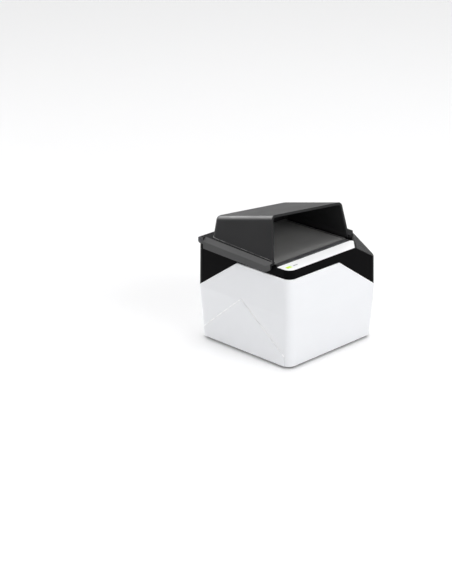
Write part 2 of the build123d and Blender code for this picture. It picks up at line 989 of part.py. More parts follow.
with BuildPart() as hood_pads:
    left_pad_x = side_x(-1, 0, frame_under, spigot_step) - pad_width / 2
    right_pad_x = side_x(1, 0, frame_under, spigot_step) + pad_width / 2
    for x in (left_pad_x, right_pad_x):
        for y in (-frame_front + pad_end + pad_length / 2, frame_rear - pad_end - pad_length / 2):
            add(block_at(x, y, frame_under - pad_thickness, pad_width, pad_length, pad_thickness))
finish(hood_pads, "hood_pads")

with BuildPart() as light_seal:
    seal_front = hood_rear - spigot_step + seal_gap
    add(
        block_at(
            window_x,
            seal_front + seal_depth / 2,
            frame_under - pad_thickness,
            window_width - 2 * pad_width,
            seal_depth,
            pad_thickness,
        )
    )
finish(light_seal, "light_seal")


# Hinge: brackets under the roof, their screws, bushes and pins
for name, x in ear_spots.items():
    spots = [(x - bracket_screw_offset, bracket_foot_y), (x + bracket_screw_offset, bracket_foot_y)]
    with BuildPart() as hinge_bracket:
        with BuildSketch(Plane.YZ.offset(x - ear_width / 2)):
            with BuildLine():
                Polyline(
                    (hinge_y + ear_radius, hinge_z),
                    (hinge_y + ear_radius, bracket_foot_z),
                    (hinge_y - ear_radius, bracket_foot_z),
                    (hinge_y - ear_radius, hinge_z),
                )
                ThreePointArc(
                    (hinge_y - ear_radius, hinge_z),
                    (hinge_y, hinge_z + ear_radius),
                    (hinge_y + ear_radius, hinge_z),
                )
            make_face()
        extrude(amount=ear_width)
        add(
            block_at(
                x,
                bracket_foot_y,
                bracket_foot_z,
                bracket_foot_width,
                bracket_foot_depth,
                bracket_foot_thickness,
            )
        )
        bush_hole = pin_radius + pin_fit + bush_wall + pin_press
        add(rod_along_x(x - ear_width / 2, x + ear_width / 2, bush_hole), mode=Mode.SUBTRACT)
        add(
            rounds_at(spots, bracket_screw_radius + screw_clearance, bracket_foot_z, roof_under),
            mode=Mode.SUBTRACT,
        )
    finish(hinge_bracket, f"hinge_bracket_{name}")

    with BuildPart() as hinge_bush:
        add(rod_along_x(x - ear_width / 2, x + ear_width / 2, pin_radius + pin_fit + bush_wall))
        add(rod_along_x(x - ear_width / 2, x + ear_width / 2, pin_radius + pin_fit), mode=Mode.SUBTRACT)
    finish(hinge_bush, f"hinge_bush_{name}")

with BuildPart() as hinge_screws:
    spots = [
        (x + way * bracket_screw_offset, bracket_foot_y) for x in ear_spots.values() for way in (-1, 1)
    ]
    add(
        screws_at(
            spots,
            bracket_foot_z,
            bracket_screw_radius,
            bracket_screw_head,
            bracket_screw_head_height,
            bracket_foot_thickness + bracket_screw_bite,
            True,
        )
    )
finish(hinge_screws, "hinge_screws")

with BuildPart() as hinge_pin_left:
    add(rod_along_x(-frame_left, left_bore_end, pin_radius))
    add(rod_along_x(-frame_left, -frame_left + pin_head_depth, pin_head_radius))
finish(hinge_pin_left, "hinge_pin_left")

with BuildPart() as hinge_pin_right:
    add(rod_along_x(right_bore_end, frame_right, pin_radius))
    add(rod_along_x(frame_right - pin_head_depth, frame_right, pin_head_radius))
finish(hinge_pin_right, "hinge_pin_right")


# Light chamber under the window
lead_spots = [(window_x - lamp_offset, lead_y), (window_x + lamp_offset, lead_y)]

with BuildPart() as light_chamber:
    for z, width, depth in (
        (chamber_low_z, chamber_low_width, chamber_low_depth),
        (roof_under, chamber_top_width, chamber_top_depth),
    ):
        with BuildSketch(Plane.XY.offset(z)):
            with Locations((window_x, window_y)):
                Rectangle(width, depth)
    loft(ruled=True)
    for z, width, depth in (
        (chamber_low_z, chamber_low_width, chamber_low_depth),
        (roof_under, chamber_top_width, chamber_top_depth),
    ):
        with BuildSketch(Plane.XY.offset(z)):
            with Locations((window_x, window_y)):
                Rectangle(width - 2 * chamber_wall, depth - 2 * chamber_wall)
    loft(ruled=True, mode=Mode.SUBTRACT)
    add(
        block_at(
            window_x,
            window_y,
            chamber_low_z,
            chamber_low_width - chamber_wall,
            chamber_low_depth - chamber_wall,
            chamber_floor,
        )
    )
    add(
        rounds_at([(window_x, window_y)], chamber_hole_radius, chamber_low_z, chamber_low),
        mode=Mode.SUBTRACT,
    )
    for x, y in lead_spots:
        add(
            block_at(
                x,
                y,
                chamber_low_z,
                lead_width + 2 * lead_fit,
                lead_thickness + 2 * lead_fit,
                chamber_floor,
            ),
            mode=Mode.SUBTRACT,
        )
finish(light_chamber, "light_chamber")


# Lamp boards, their lamps, diffusers and leads
for name, x in (("left", window_x - lamp_offset), ("right", window_x + lamp_offset)):
    with BuildPart() as lamp_board:
        add(block_at(x, window_y, chamber_low, lamp_board_width, lamp_board_length, lamp_board_thickness))
    finish(lamp_board, f"lamp_board_{name}")

    with BuildPart() as lamp_leds:
        with BuildSketch(Plane.XY.offset(lamp_board_top)):
            with Locations((x, window_y)):
                with GridLocations(0, lamp_pitch, 1, lamp_count):
                    Rectangle(lamp_size, lamp_size)
        extrude(amount=lamp_height)
    finish(lamp_leds, f"lamp_leds_{name}")

    with BuildPart() as lamp_diffuser:
        add(block_at(x, window_y, lamp_board_top, diffuser_width, diffuser_length, diffuser_height))
        add(
            block_at(
                x,
                window_y,
                lamp_board_top,
                diffuser_width - 2 * diffuser_wall,
                diffuser_length - 2 * diffuser_wall,
                diffuser_height - diffuser_wall,
            ),
            mode=Mode.SUBTRACT,
        )
    finish(lamp_diffuser, f"lamp_diffuser_{name}")

with BuildPart() as lamp_leads:
    for x, y in lead_spots:
        add(block_at(x, y, main_board_top, lead_width, lead_thickness, lamp_board_top - main_board_top))
        lap_end = window_y - lamp_board_length / 2 + lead_lap
        lap_start = y - lead_thickness / 2
        add(
            block_at(
                x, (lap_start + lap_end) / 2, lamp_board_top, lead_width, lap_end - lap_start, lead_thickness
            )
        )
finish(lamp_leads, "lamp_leads")


# Main board on its standoffs
board_middle_y = (main_board_rear - main_board_front) / 2
main_board_spots = [
    (way * (main_board_half_width - board_screw_inset), y)
    for way in (-1, 1)
    for y in (-main_board_front + board_screw_inset, main_board_rear - board_screw_inset)
]

with BuildPart() as main_board:
    with BuildSketch(Plane.XY.offset(main_board_z)):
        with Locations((0, board_middle_y)):
            RectangleRounded(2 * main_board_half_width, main_board_front + main_board_rear, board_corner)
    extrude(amount=board_thickness)
    add(
        rounds_at(main_board_spots, board_screw_radius + screw_clearance, main_board_z, main_board_top),
        mode=Mode.SUBTRACT,
    )
finish(main_board, "main_board")

with BuildPart() as board_standoffs:
    add(rounds_at(main_board_spots, standoff_radius, plate_top, main_board_z))
    add(
        rounds_at(main_board_spots, board_screw_radius + thread_fit, plate_top, main_board_z),
        mode=Mode.SUBTRACT,
    )
finish(board_standoffs, "board_standoffs")

with BuildPart() as board_screws:
    add(
        screws_at(
            main_board_spots,
            main_board_top,
            board_screw_radius,
            board_screw_head,
            board_screw_head_height,
            board_thickness + board_screw_bite,
            False,
        )
    )
finish(board_screws, "board_screws")

with BuildPart() as board_chips:
    front_chip_y = -main_board_front + chip_margin + processor_size / 2
    rear_chip_y = main_board_rear - chip_margin - memory_depth / 2
    front_memory_x = main_board_half_width - chip_side_margin - memory_width / 2
    for x, y, width, depth in (
        (window_x, front_chip_y, processor_size, processor_size),
        (front_memory_x, front_chip_y, memory_width, memory_depth),
        (-front_memory_x, rear_chip_y, memory_width, memory_depth),
    ):
        add(block_at(x, y, main_board_top, width, depth, chip_height))
finish(board_chips, "board_chips")


# Sensor board and the camera
sensor_spots = [
    (
        window_x + way_x * (sensor_board_width / 2 - sensor_standoff_inset),
        window_y + way_y * (sensor_board_depth / 2 - sensor_standoff_inset),
    )
    for way_x in (-1, 1)
    for way_y in (-1, 1)
]

with BuildPart() as sensor_standoffs:
    add(rounds_at(sensor_spots, sensor_standoff_radius, main_board_top, sensor_board_z))
finish(sensor_standoffs, "sensor_standoffs")

with BuildPart() as sensor_board:
    add(
        window_block(sensor_board_width, sensor_board_depth, sensor_board_z, sensor_board_top, board_corner)
    )
finish(sensor_board, "sensor_board")

with BuildPart() as image_sensor:
    add(block_at(window_x, window_y, sensor_board_top, sensor_size, sensor_size, sensor_height))
finish(image_sensor, "image_sensor")

with BuildPart() as lens_holder:
    add(block_at(window_x, window_y, sensor_board_top, holder_base, holder_base, holder_base_height))
    add(rounds_at([(window_x, window_y)], holder_radius, holder_tube_z, holder_top))
    add(
        rounds_at([(window_x, window_y)], barrel_radius + barrel_fit, barrel_low, holder_top),
        mode=Mode.SUBTRACT,
    )
    add(
        block_at(
            window_x,
            window_y,
            sensor_board_top,
            sensor_size + 2 * sensor_fit,
            sensor_size + 2 * sensor_fit,
            holder_base_height,
        ),
        mode=Mode.SUBTRACT,
    )
finish(lens_holder, "lens_holder")

with BuildPart() as lens_barrel:
    add(rounds_at([(window_x, window_y)], barrel_radius, barrel_low, barrel_top))
    add(rounds_at([(window_x, window_y)], barrel_lip_radius, barrel_lip_z, barrel_top))
    add(rounds_at([(window_x, window_y)], barrel_bore, barrel_low, lens_low), mode=Mode.SUBTRACT)
    add(
        rounds_at([(window_x, window_y)], lens_radius + barrel_fit, lens_low, barrel_top),
        mode=Mode.SUBTRACT,
    )
finish(lens_barrel, "lens_barrel")

with BuildPart() as lens_glass:
    with BuildSketch(Plane.XZ.offset(-window_y)):
        with BuildLine():
            Polyline(
                (window_x, lens_low + lens_edge + lens_crown),
                (window_x, lens_low),
                (window_x + lens_radius, lens_low),
                (window_x + lens_radius, lens_low + lens_edge),
            )
            RadiusArc(
                (window_x + lens_radius, lens_low + lens_edge),
                (window_x, lens_low + lens_edge + lens_crown),
                -(lens_radius**2 + lens_crown**2) / (2 * lens_crown),
            )
        make_face()
    revolve(axis=Axis((window_x, window_y, 0), (0, 0, 1)))
finish(lens_glass, "lens_glass")

with BuildPart() as camera_ribbon:
    ribbon_top = sensor_board_top + ribbon_thickness
    add(
        block_at(
            window_x, ribbon_y, main_board_top, ribbon_width, ribbon_thickness, ribbon_top - main_board_top
        )
    )
    lap_start = window_y + sensor_board_depth / 2 - ribbon_lap
    lap_end = ribbon_y + ribbon_thickness / 2
    add(
        block_at(
            window_x,
            (lap_start + lap_end) / 2,
            sensor_board_top,
            ribbon_width,
            lap_end - lap_start,
            ribbon_thickness,
        )
    )
finish(camera_ribbon, "camera_ribbon")


# Rear socket
with BuildPart() as usb_socket:
    socket_middle_z = main_board_top + socket_height / 2
    with BuildSketch(Plane.XZ.offset(-socket_face_y)):
        with Locations((socket_x, socket_middle_z)):
            Rectangle(socket_width, socket_height)
    extrude(amount=socket_length)
    with BuildSketch(Plane.XZ.offset(-socket_face_y)):
        with Locations((socket_x, socket_middle_z)):
            Rectangle(socket_cavity_width, socket_cavity_height)
            Rectangle(socket_tongue_width, socket_tongue_height, mode=Mode.SUBTRACT)
    extrude(amount=socket_cavity_depth, mode=Mode.SUBTRACT)
finish(usb_socket, "usb_socket")
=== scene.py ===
"""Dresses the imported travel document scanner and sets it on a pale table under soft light."""

import json
import logging
import math
from dataclasses import dataclass
from enum import Enum
from typing import Callable, Iterable, Sequence

import bmesh
import bpy
from mathutils import Matrix, Vector


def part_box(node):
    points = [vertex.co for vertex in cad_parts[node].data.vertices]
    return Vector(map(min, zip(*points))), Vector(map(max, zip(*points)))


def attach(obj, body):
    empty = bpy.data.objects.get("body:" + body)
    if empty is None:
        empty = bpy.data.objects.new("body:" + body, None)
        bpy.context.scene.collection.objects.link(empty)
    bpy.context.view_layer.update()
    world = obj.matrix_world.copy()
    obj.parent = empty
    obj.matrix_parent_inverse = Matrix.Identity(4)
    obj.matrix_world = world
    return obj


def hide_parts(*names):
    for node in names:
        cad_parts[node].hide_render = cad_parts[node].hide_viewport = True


MM = 0.001

# The marks on faces that the finishes read: the side rail's faces, lightened as a painted
# reflection, and edges that get wear and a painted highlight
RAIL_REFLECTION = "rail_reflection"
WORN_AND_LIT = "worn_and_lit"

# Copying the CAD: points closer than this are joined, and faces that turn by less than this merge
JOIN_REACH = 0.002 * MM
JOIN_DEGREES = 0.5
CUT_REACH = 0.001 * MM

# Shading: sharper turns stay crisp, and a larger face with more corners stays flat
SHARP_DEGREES = 32.0
LARGE_FACE = 150.0 * MM * MM
FEW_CORNERS = 4

# Rounding: edges that turn by more are rounded
CORNER_DEGREES = 35.0

# The case's outer wall is what lies further than WALL_REACH outside a square core
CORE_HALF = 43.3 * MM
WALL_REACH = 6.75 * MM
WALL_FACING = 0.6
CAP_FACING = 0.4

# What the finishes share: how a noise is spread, how deep grain is, and dust's colour and dullness
GRAIN_BAND = (0.35, 0.65)
WEAR_AND_HIGHLIGHT_BAND, WEAR_AND_HIGHLIGHT_SHARE = (0.42, 0.62), (0.25, 1.0)
DUST_SLOPE = (0.6, 1.0)
DUST_BAND, DUST_SHARE = (0.40, 0.70), (0.2, 1.0)
DUST_COLOUR = (0.55, 0.54, 0.52)
DUST_DULLS = 0.4
GRAIN_REACH = 0.1 * MM
BRUSH_REACH = 0.05 * MM
WHITE = (1.0, 1.0, 1.0, 1.0)

# Where the Mix node has its factor, its two colours and its mixed colour
MIX_FACTOR, MIX_FIRST, MIX_SECOND, MIX_RESULT = 0, 6, 7, 2

log = logging.getLogger("scanner")
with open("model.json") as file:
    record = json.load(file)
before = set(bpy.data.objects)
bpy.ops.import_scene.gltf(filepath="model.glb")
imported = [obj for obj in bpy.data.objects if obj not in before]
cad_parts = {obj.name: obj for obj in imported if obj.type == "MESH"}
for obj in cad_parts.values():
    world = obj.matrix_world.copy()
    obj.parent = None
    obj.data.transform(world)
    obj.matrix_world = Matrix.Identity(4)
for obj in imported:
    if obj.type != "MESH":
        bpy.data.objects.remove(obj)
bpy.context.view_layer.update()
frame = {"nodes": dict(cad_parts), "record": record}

Colour = tuple[float, float, float]


class Body(Enum):
    """The two rigid bodies that pieces ride on."""

    CASE = "case"
    HOOD = "hood"


# Shader tools


class Graph:
    """A small helper that adds and links shader nodes in one tree."""

    def __init__(self, tree: bpy.types.NodeTree) -> None:
        """Keeps the tree whose nodes it adds.

        Args:
            tree: A material's or a group's node tree.
        """
        self.tree = tree

    def add(self, kind: str, **settings: object) -> bpy.types.Node:
        """Adds one node and sets its plain properties.

        Args:
            kind: The node's type name without the ShaderNode prefix.
            **settings: Properties of the node, by name.

        Returns:
            The new node.
        """
        node = self.tree.nodes.new(kind if kind.startswith("Node") else f"ShaderNode{kind}")
        for name, value in settings.items():
            setattr(node, name, value)
        return node

    def feed(self, node: bpy.types.Node, **values: object) -> bpy.types.Node:
        """Sets or links a node's inputs; spaces in socket names are written as underscores.

        Args:
            node: The node whose inputs are fed.
            **values: A socket to link from, or a plain value, by input name.

        Returns:
            The same node.
        """
        for name, value in values.items():
            self.give(node.inputs[name.replace("_", " ")], value)
        return node

    def give(self, socket: bpy.types.NodeSocket, value: object) -> None:
        """Links a socket into an input, or sets the input to a plain value.

        Args:
            socket: The input.
            value: A socket or a plain value.
        """
        if isinstance(value, bpy.types.NodeSocket):
            self.tree.links.new(value, socket)
        else:
            socket.default_value = value

    def math(self, operation: str, first: object, second: object = 0.5) -> bpy.types.NodeSocket:
        """Adds a Math node.

        Args:
            operation: The node's operation.
            first: A socket or a number.
            second: A socket or a number.

        Returns:
            The result's socket.
        """
        node = self.add("Math", operation=operation)
        self.give(node.inputs[0], first)
        self.give(node.inputs[1], second)
        return node.outputs[0]

    def remap(
        self,
        value: bpy.types.NodeSocket,
        taken: tuple[float, float],
        given: tuple[float, float] = (0.0, 1.0),
    ) -> bpy.types.NodeSocket:
        """Maps a value from one range to another, clamped.

        Args:
            value: The socket to map.
            taken: The lowest and the highest value taken in.
            given: What they become.

        Returns:
            The mapped value's socket.
        """
        node = self.feed(
            self.add("MapRange"),
            Value=value,
            From_Min=taken[0],
            From_Max=taken[1],
            To_Min=given[0],
            To_Max=given[1],
        )
        return node.outputs["Result"]

    def blend(self, mask: object, first: object, second: object) -> bpy.types.NodeSocket:
        """Mixes two colours by a mask.

        Args:
            mask: A socket or a number, 0 for the first colour and 1 for the second.
            first: A socket or a colour.
            second: A socket or a colour.

        Returns:
            The mixed colour's socket.
        """
        node = self.add("Mix", data_type="RGBA")
        self.give(node.inputs[MIX_FACTOR], mask)
        for index, colour in ((MIX_FIRST, first), (MIX_SECOND, second)):
            opaque = colour if isinstance(colour, bpy.types.NodeSocket) else (*colour, 1.0)
            self.give(node.inputs[index], opaque)
        return node.outputs[MIX_RESULT]

    def place(self, stretch: tuple[float, float, float] | None = None) -> bpy.types.NodeSocket:
        """Gives the shaded point in the object's own space.

        Args:
            stretch: How much each axis is scaled, if at all.

        Returns:
            The point's socket.
        """
        own = self.add("TexCoord").outputs["Object"]
        if not stretch:
            return own
        return self.feed(self.add("Mapping"), Vector=own, Scale=stretch).outputs[0]

    def noise(
        self, place: bpy.types.NodeSocket, scale: object, detail: float
    ) -> bpy.types.NodeSocket:
        """Adds a noise.

        Args:
            place: The point's socket.
            scale: How fine it is, as a socket or a number.
            detail: How many finer layers it has.

        Returns:
            The noise's socket.
        """
        node = self.feed(self.add("TexNoise"), Vector=place, Scale=scale, Detail=detail)
        return node.outputs["Fac"]

    def bump(
        self, height: bpy.types.NodeSocket, strength: float, reach: float
    ) -> bpy.types.NodeSocket:
        """Turns a height into a normal.

        Args:
            height: The height's socket.
            strength: How strongly it shows.
            reach: The height that 1 stands for, in metres.

        Returns:
            The normal's socket.
        """
        node = self.feed(self.add("Bump"), Strength=strength, Distance=reach, Height=height)
        return node.outputs[0]


@dataclass(frozen=True)
class SharedEffect:
    """A shader node group of plain values that several finishes use, built once."""

    name: str
    inputs: tuple[tuple[str, float], ...]
    outputs: tuple[str, ...]
    draw: Callable[["Graph", bpy.types.Node, bpy.types.Node], None]

    def place(self, graph: Graph, **values: object) -> bpy.types.Node:
        """Places the group in a material.

        Args:
            graph: The material's graph.
            **values: The group's inputs, by name.

        Returns:
            The group's node.
        """
        node = graph.add("Group", node_tree=self.tree())
        return graph.feed(node, **values)

    def tree(self) -> bpy.types.NodeTree:
        """Gives the group's tree, which is built on its first use.

        Returns:
            The shader node tree.
        """
        made = bpy.data.node_groups.get(self.name)
        if made:
            return made
        tree = bpy.data.node_groups.new(self.name, "ShaderNodeTree")
        for name, value in self.inputs:
            socket = tree.interface.new_socket(name, in_out="INPUT", socket_type="NodeSocketFloat")
            socket.default_value = value
        for name in self.outputs:
            tree.interface.new_socket(name, in_out="OUTPUT", socket_type="NodeSocketFloat")
        graph = Graph(tree)
        self.draw(graph, graph.add("NodeGroupInput"), graph.add("NodeGroupOutput"))
        return tree


def draw_grain(graph: Graph, source: bpy.types.Node, out: bpy.types.Node) -> None:
    """Fine moulded grain: a noise for the surface's height and a slow one for its gloss and tone.

    Args:
        graph: The group's graph.
        source: The group's input node.
        out: The group's output node.
    """
    place = graph.place()
    fine = graph.noise(place, source.outputs["Scale"], detail=2.0)
    slow = graph.noise(place, scale=42.0, detail=3.0)
    height = graph.math("MULTIPLY", fine, source.outputs["Depth"])
    drift = graph.math("MULTIPLY", graph.math("SUBTRACT", slow, 0.5), source.outputs["Variation"])
    graph.feed(out, Height=height, Tone=graph.remap(slow, GRAIN_BAND), Drift=drift)


def draw_wear_and_highlight(graph: Graph, source: bpy.types.Node, out: bpy.types.Node) -> None:
    """Rubbing on the rounded and marked edges, broken up by a noise; where a finish's edge colour
    is much lighter, the mask is also a painted highlight.

    Args:
        graph: The group's graph.
        source: The group's input node.
        out: The group's output node.
    """
    edge = graph.add("Attribute", attribute_name=WORN_AND_LIT).outputs["Fac"]
    patches = graph.noise(graph.place(), scale=160.0, detail=4.0)
    broken = graph.remap(patches, WEAR_AND_HIGHLIGHT_BAND, WEAR_AND_HIGHLIGHT_SHARE)
    mask = graph.math("MULTIPLY", graph.math("MULTIPLY", edge, broken), source.outputs["Amount"])
    graph.feed(out, Mask=mask)


def draw_dust(graph: Graph, source: bpy.types.Node, out: bpy.types.Node) -> None:
    """A thin veil of dust that settles on faces turned upwards.

    Args:
        graph: The group's graph.
        source: The group's input node.
        out: The group's output node.
    """
    parts = graph.feed(graph.add("SeparateXYZ"), Vector=graph.add("NewGeometry").outputs["Normal"])
    level = graph.remap(parts.outputs["Z"], DUST_SLOPE)
    cover = graph.remap(graph.noise(graph.place(), scale=70.0, detail=5.0), DUST_BAND, DUST_SHARE)
    mask = graph.math("MULTIPLY", graph.math("MULTIPLY", level, cover), source.outputs["Amount"])
    graph.feed(out, Mask=mask)


GRAIN = SharedEffect(
    "moulded_grain",
    (("Scale", 900.0), ("Depth", 1.0), ("Variation", 0.1)),
    ("Height", "Drift", "Tone"),
    draw_grain,
)
WEAR_AND_HIGHLIGHT = SharedEffect("edge_wear_and_highlight", (("Amount", 0.3),), ("Mask",), draw_wear_and_highlight)
DUST = SharedEffect("settled_dust", (("Amount", 0.1),), ("Mask",), draw_dust)


# Finishes


@dataclass(frozen=True)
class Finish:
    """A finish of one of the record's material slots."""

    slot: str
    colour: Colour

    def material(self) -> bpy.types.Material:
        """Gives the finish's material, which is built on its first use.

        Returns:
            The material, named after the slot; the CAD's own plain ones keep the bare names.
        """
        name = f"{self.slot}_finish"
        made = bpy.data.materials.get(name)
        if made:
            return made
        made = bpy.data.materials.new(name)
        made.use_nodes = True
        made.diffuse_color = (*self.colour, 1.0)
        made.node_tree.nodes.clear()
        graph = Graph(made.node_tree)
        shader = graph.add("BsdfPrincipled")
        graph.feed(graph.add("OutputMaterial"), Surface=shader.outputs[0])
        self.dress(graph, shader)
        return made

    def dress(self, graph: Graph, shader: bpy.types.Node) -> None:
        """Feeds the shader; each kind of finish has its own way.

        Args:
            graph: The material's graph.
            shader: The material's Principled shader.
        """
        raise NotImplementedError


@dataclass(frozen=True)
class Moulded(Finish):
    """Moulded plastic or rubber with grain, worn edges and a little dust; the edges' lighter colour
    is partly a painted highlight, and marked rail faces get a painted reflection.
    """

    roughness: float = 0.4
    specular: float = 0.5
    grain_scale: float = 1400.0
    grain_depth: float = 0.15
    variation: float = 0.12
    wear_and_highlight: float = 0.25
    wear_and_highlight_colour: Colour = (0.3, 0.3, 0.31)
    dust: float = 0.03
    tone: float = 0.94
    rail_reflection_colour: Colour | None = None

    def dress(self, graph: Graph, shader: bpy.types.Node) -> None:
        """Puts grain on the normal, drift on the gloss, and on the colour wear with a painted
        highlight, the rail's painted reflection and dust.

        Args:
            graph: The material's graph.
            shader: The material's Principled shader.
        """
        grain = GRAIN.place(
            graph, Scale=self.grain_scale, Depth=self.grain_depth, Variation=self.variation
        )
        rubbed_and_lit = WEAR_AND_HIGHLIGHT.place(graph, Amount=self.wear_and_highlight).outputs["Mask"]
        dusty = DUST.place(graph, Amount=self.dust).outputs["Mask"]
        shade = tuple(self.tone * part for part in self.colour)
        colour = graph.blend(grain.outputs["Tone"], shade, self.colour)
        # Painted reflection: the rail's marked faces take a lighter grey, standing in for the pale
        # table's reflection on the frame's side.
        if self.rail_reflection_colour:
            rail_reflection = graph.add("Attribute", attribute_name=RAIL_REFLECTION)
            colour = graph.blend(rail_reflection.outputs["Fac"], colour, self.rail_reflection_colour)
        # Marked edges take the edge colour: wear, and on the white, hood and black shells a painted
        # highlight.
        colour = graph.blend(rubbed_and_lit, colour, self.wear_and_highlight_colour)
        gloss = graph.math("ADD", grain.outputs["Drift"], self.roughness)
        graph.feed(
            shader,
            Base_Color=graph.blend(dusty, colour, DUST_COLOUR),
            Roughness=graph.math("ADD", gloss, graph.math("MULTIPLY", dusty, DUST_DULLS)),
            Normal=graph.bump(grain.outputs["Height"], strength=0.25, reach=GRAIN_REACH),
            Specular_IOR_Level=self.specular,
        )


@dataclass(frozen=True)
class Metal(Finish):
    """Plated, turned or anodised metal with fine turning or brushing marks."""

    roughness: float = 0.3
    stretch: tuple[float, float, float] = (1.0, 1.0, 12.0)
    wear_and_highlight: float = 0.2
    worn_gain: float = 1.25
    worn_lift: float = 0.08
    smoother: float = 0.08
    rougher: float = 0.12
    mark_band: tuple[float, float] = (0.3, 0.7)

    def dress(self, graph: Graph, shader: bpy.types.Node) -> None:
        """Puts brushed noise on the gloss and the normal, and brighter metal on worn edges.

        Args:
            graph: The material's graph.
            shader: The material's Principled shader.
        """
        marks = graph.noise(graph.place(self.stretch), scale=900.0, detail=4.0)
        rubbed_and_lit = WEAR_AND_HIGHLIGHT.place(graph, Amount=self.wear_and_highlight).outputs["Mask"]
        bright = tuple(min(1.0, self.worn_gain * part + self.worn_lift) for part in self.colour)
        gloss = (self.roughness - self.smoother, self.roughness + self.rougher)
        graph.feed(
            shader,
            Base_Color=graph.blend(rubbed_and_lit, self.colour, bright),
            Metallic=1.0,
            Roughness=graph.remap(marks, self.mark_band, gloss),
            Normal=graph.bump(marks, strength=0.15, reach=BRUSH_REACH),
        )


@dataclass(frozen=True)
class Glass(Finish):
    """Tinted glass with fine wipe marks and a little dust."""

    roughness: float = 0.03
    clear: float = 0.9
    dust: float = 0.05
    dust_colour: Colour = (0.6, 0.6, 0.6)
    stretch: tuple[float, float, float] = (1.0, 6.0, 1.0)
    wipe_band: tuple[float, float] = (0.35, 0.75)
    wipe_dulls: float = 0.03
    index: float = 1.5

    def dress(self, graph: Graph, shader: bpy.types.Node) -> None:
        """Puts wipe marks on the gloss and dust on the colour.

        Args:
            graph: The material's graph.
            shader: The material's Principled shader.
        """
        wipes = graph.noise(graph.place(self.stretch), scale=160.0, detail=5.0)
        dusty = DUST.place(graph, Amount=self.dust).outputs["Mask"]
        gloss = (self.roughness, self.roughness + self.wipe_dulls)
        graph.feed(
            shader,
            Base_Color=graph.blend(dusty, self.colour, self.dust_colour),
            Roughness=graph.remap(wipes, self.wipe_band, gloss),
            IOR=self.index,
            Transmission_Weight=self.clear,
        )


@dataclass(frozen=True)
class CircuitBoard(Finish):
    """Solder mask with copper tracks that show through as lighter lines."""

    track_colour: Colour = (0.03, 0.22, 0.09)
    roughness: float = 0.32

    def dress(self, graph: Graph, shader: bpy.types.Node) -> None:
        """Draws the tracks as a brick pattern under a fine grain.

        Args:
            graph: The material's graph.
            shader: The material's Principled shader.
        """
        bricks = graph.add("TexBrick", offset=0.5, squash=0.6, squash_frequency=3)
        graph.feed(bricks, Vector=graph.place(), Scale=140.0, Mortar_Size=0.06, Bias=-0.2)
        tracks = bricks.outputs["Fac"]
        grain = GRAIN.place(graph, Scale=2200.0, Depth=0.1, Variation=0.1)
        ridge = graph.math("ADD", tracks, grain.outputs["Height"])
        graph.feed(
            shader,
            Base_Color=graph.blend(tracks, self.colour, self.track_colour),
            Roughness=graph.math("ADD", grain.outputs["Drift"], self.roughness),
            Normal=graph.bump(ridge, strength=0.3, reach=GRAIN_REACH),
        )


@dataclass(frozen=True)
class Lens(Finish):
    """A light pipe or a lamp's resin, lit from inside where glow is above 0."""

    glow: float = 0.0
    clear: float = 0.15
    roughness: float = 0.25
    dimmest: float = 0.75
    drift_band: tuple[float, float] = (-0.1, 0.1)

    def dress(self, graph: Graph, shader: bpy.types.Node) -> None:
        """Shades the colour by a soft noise and lets the same colour glow.

        Args:
            graph: The material's graph.
            shader: The material's Principled shader.
        """
        grain = GRAIN.place(graph, Scale=700.0, Depth=0.2, Variation=0.3)
        lit = graph.remap(grain.outputs["Drift"], self.drift_band, (self.dimmest, 1.0))
        deep = tuple(self.dimmest * part for part in self.colour)
        colour = graph.blend(lit, deep, self.colour)
        graph.feed(
            shader,
            Base_Color=colour,
            Roughness=graph.math("ADD", grain.outputs["Drift"], self.roughness),
            Emission_Color=colour,
            Emission_Strength=self.glow,
            Transmission_Weight=self.clear,
        )


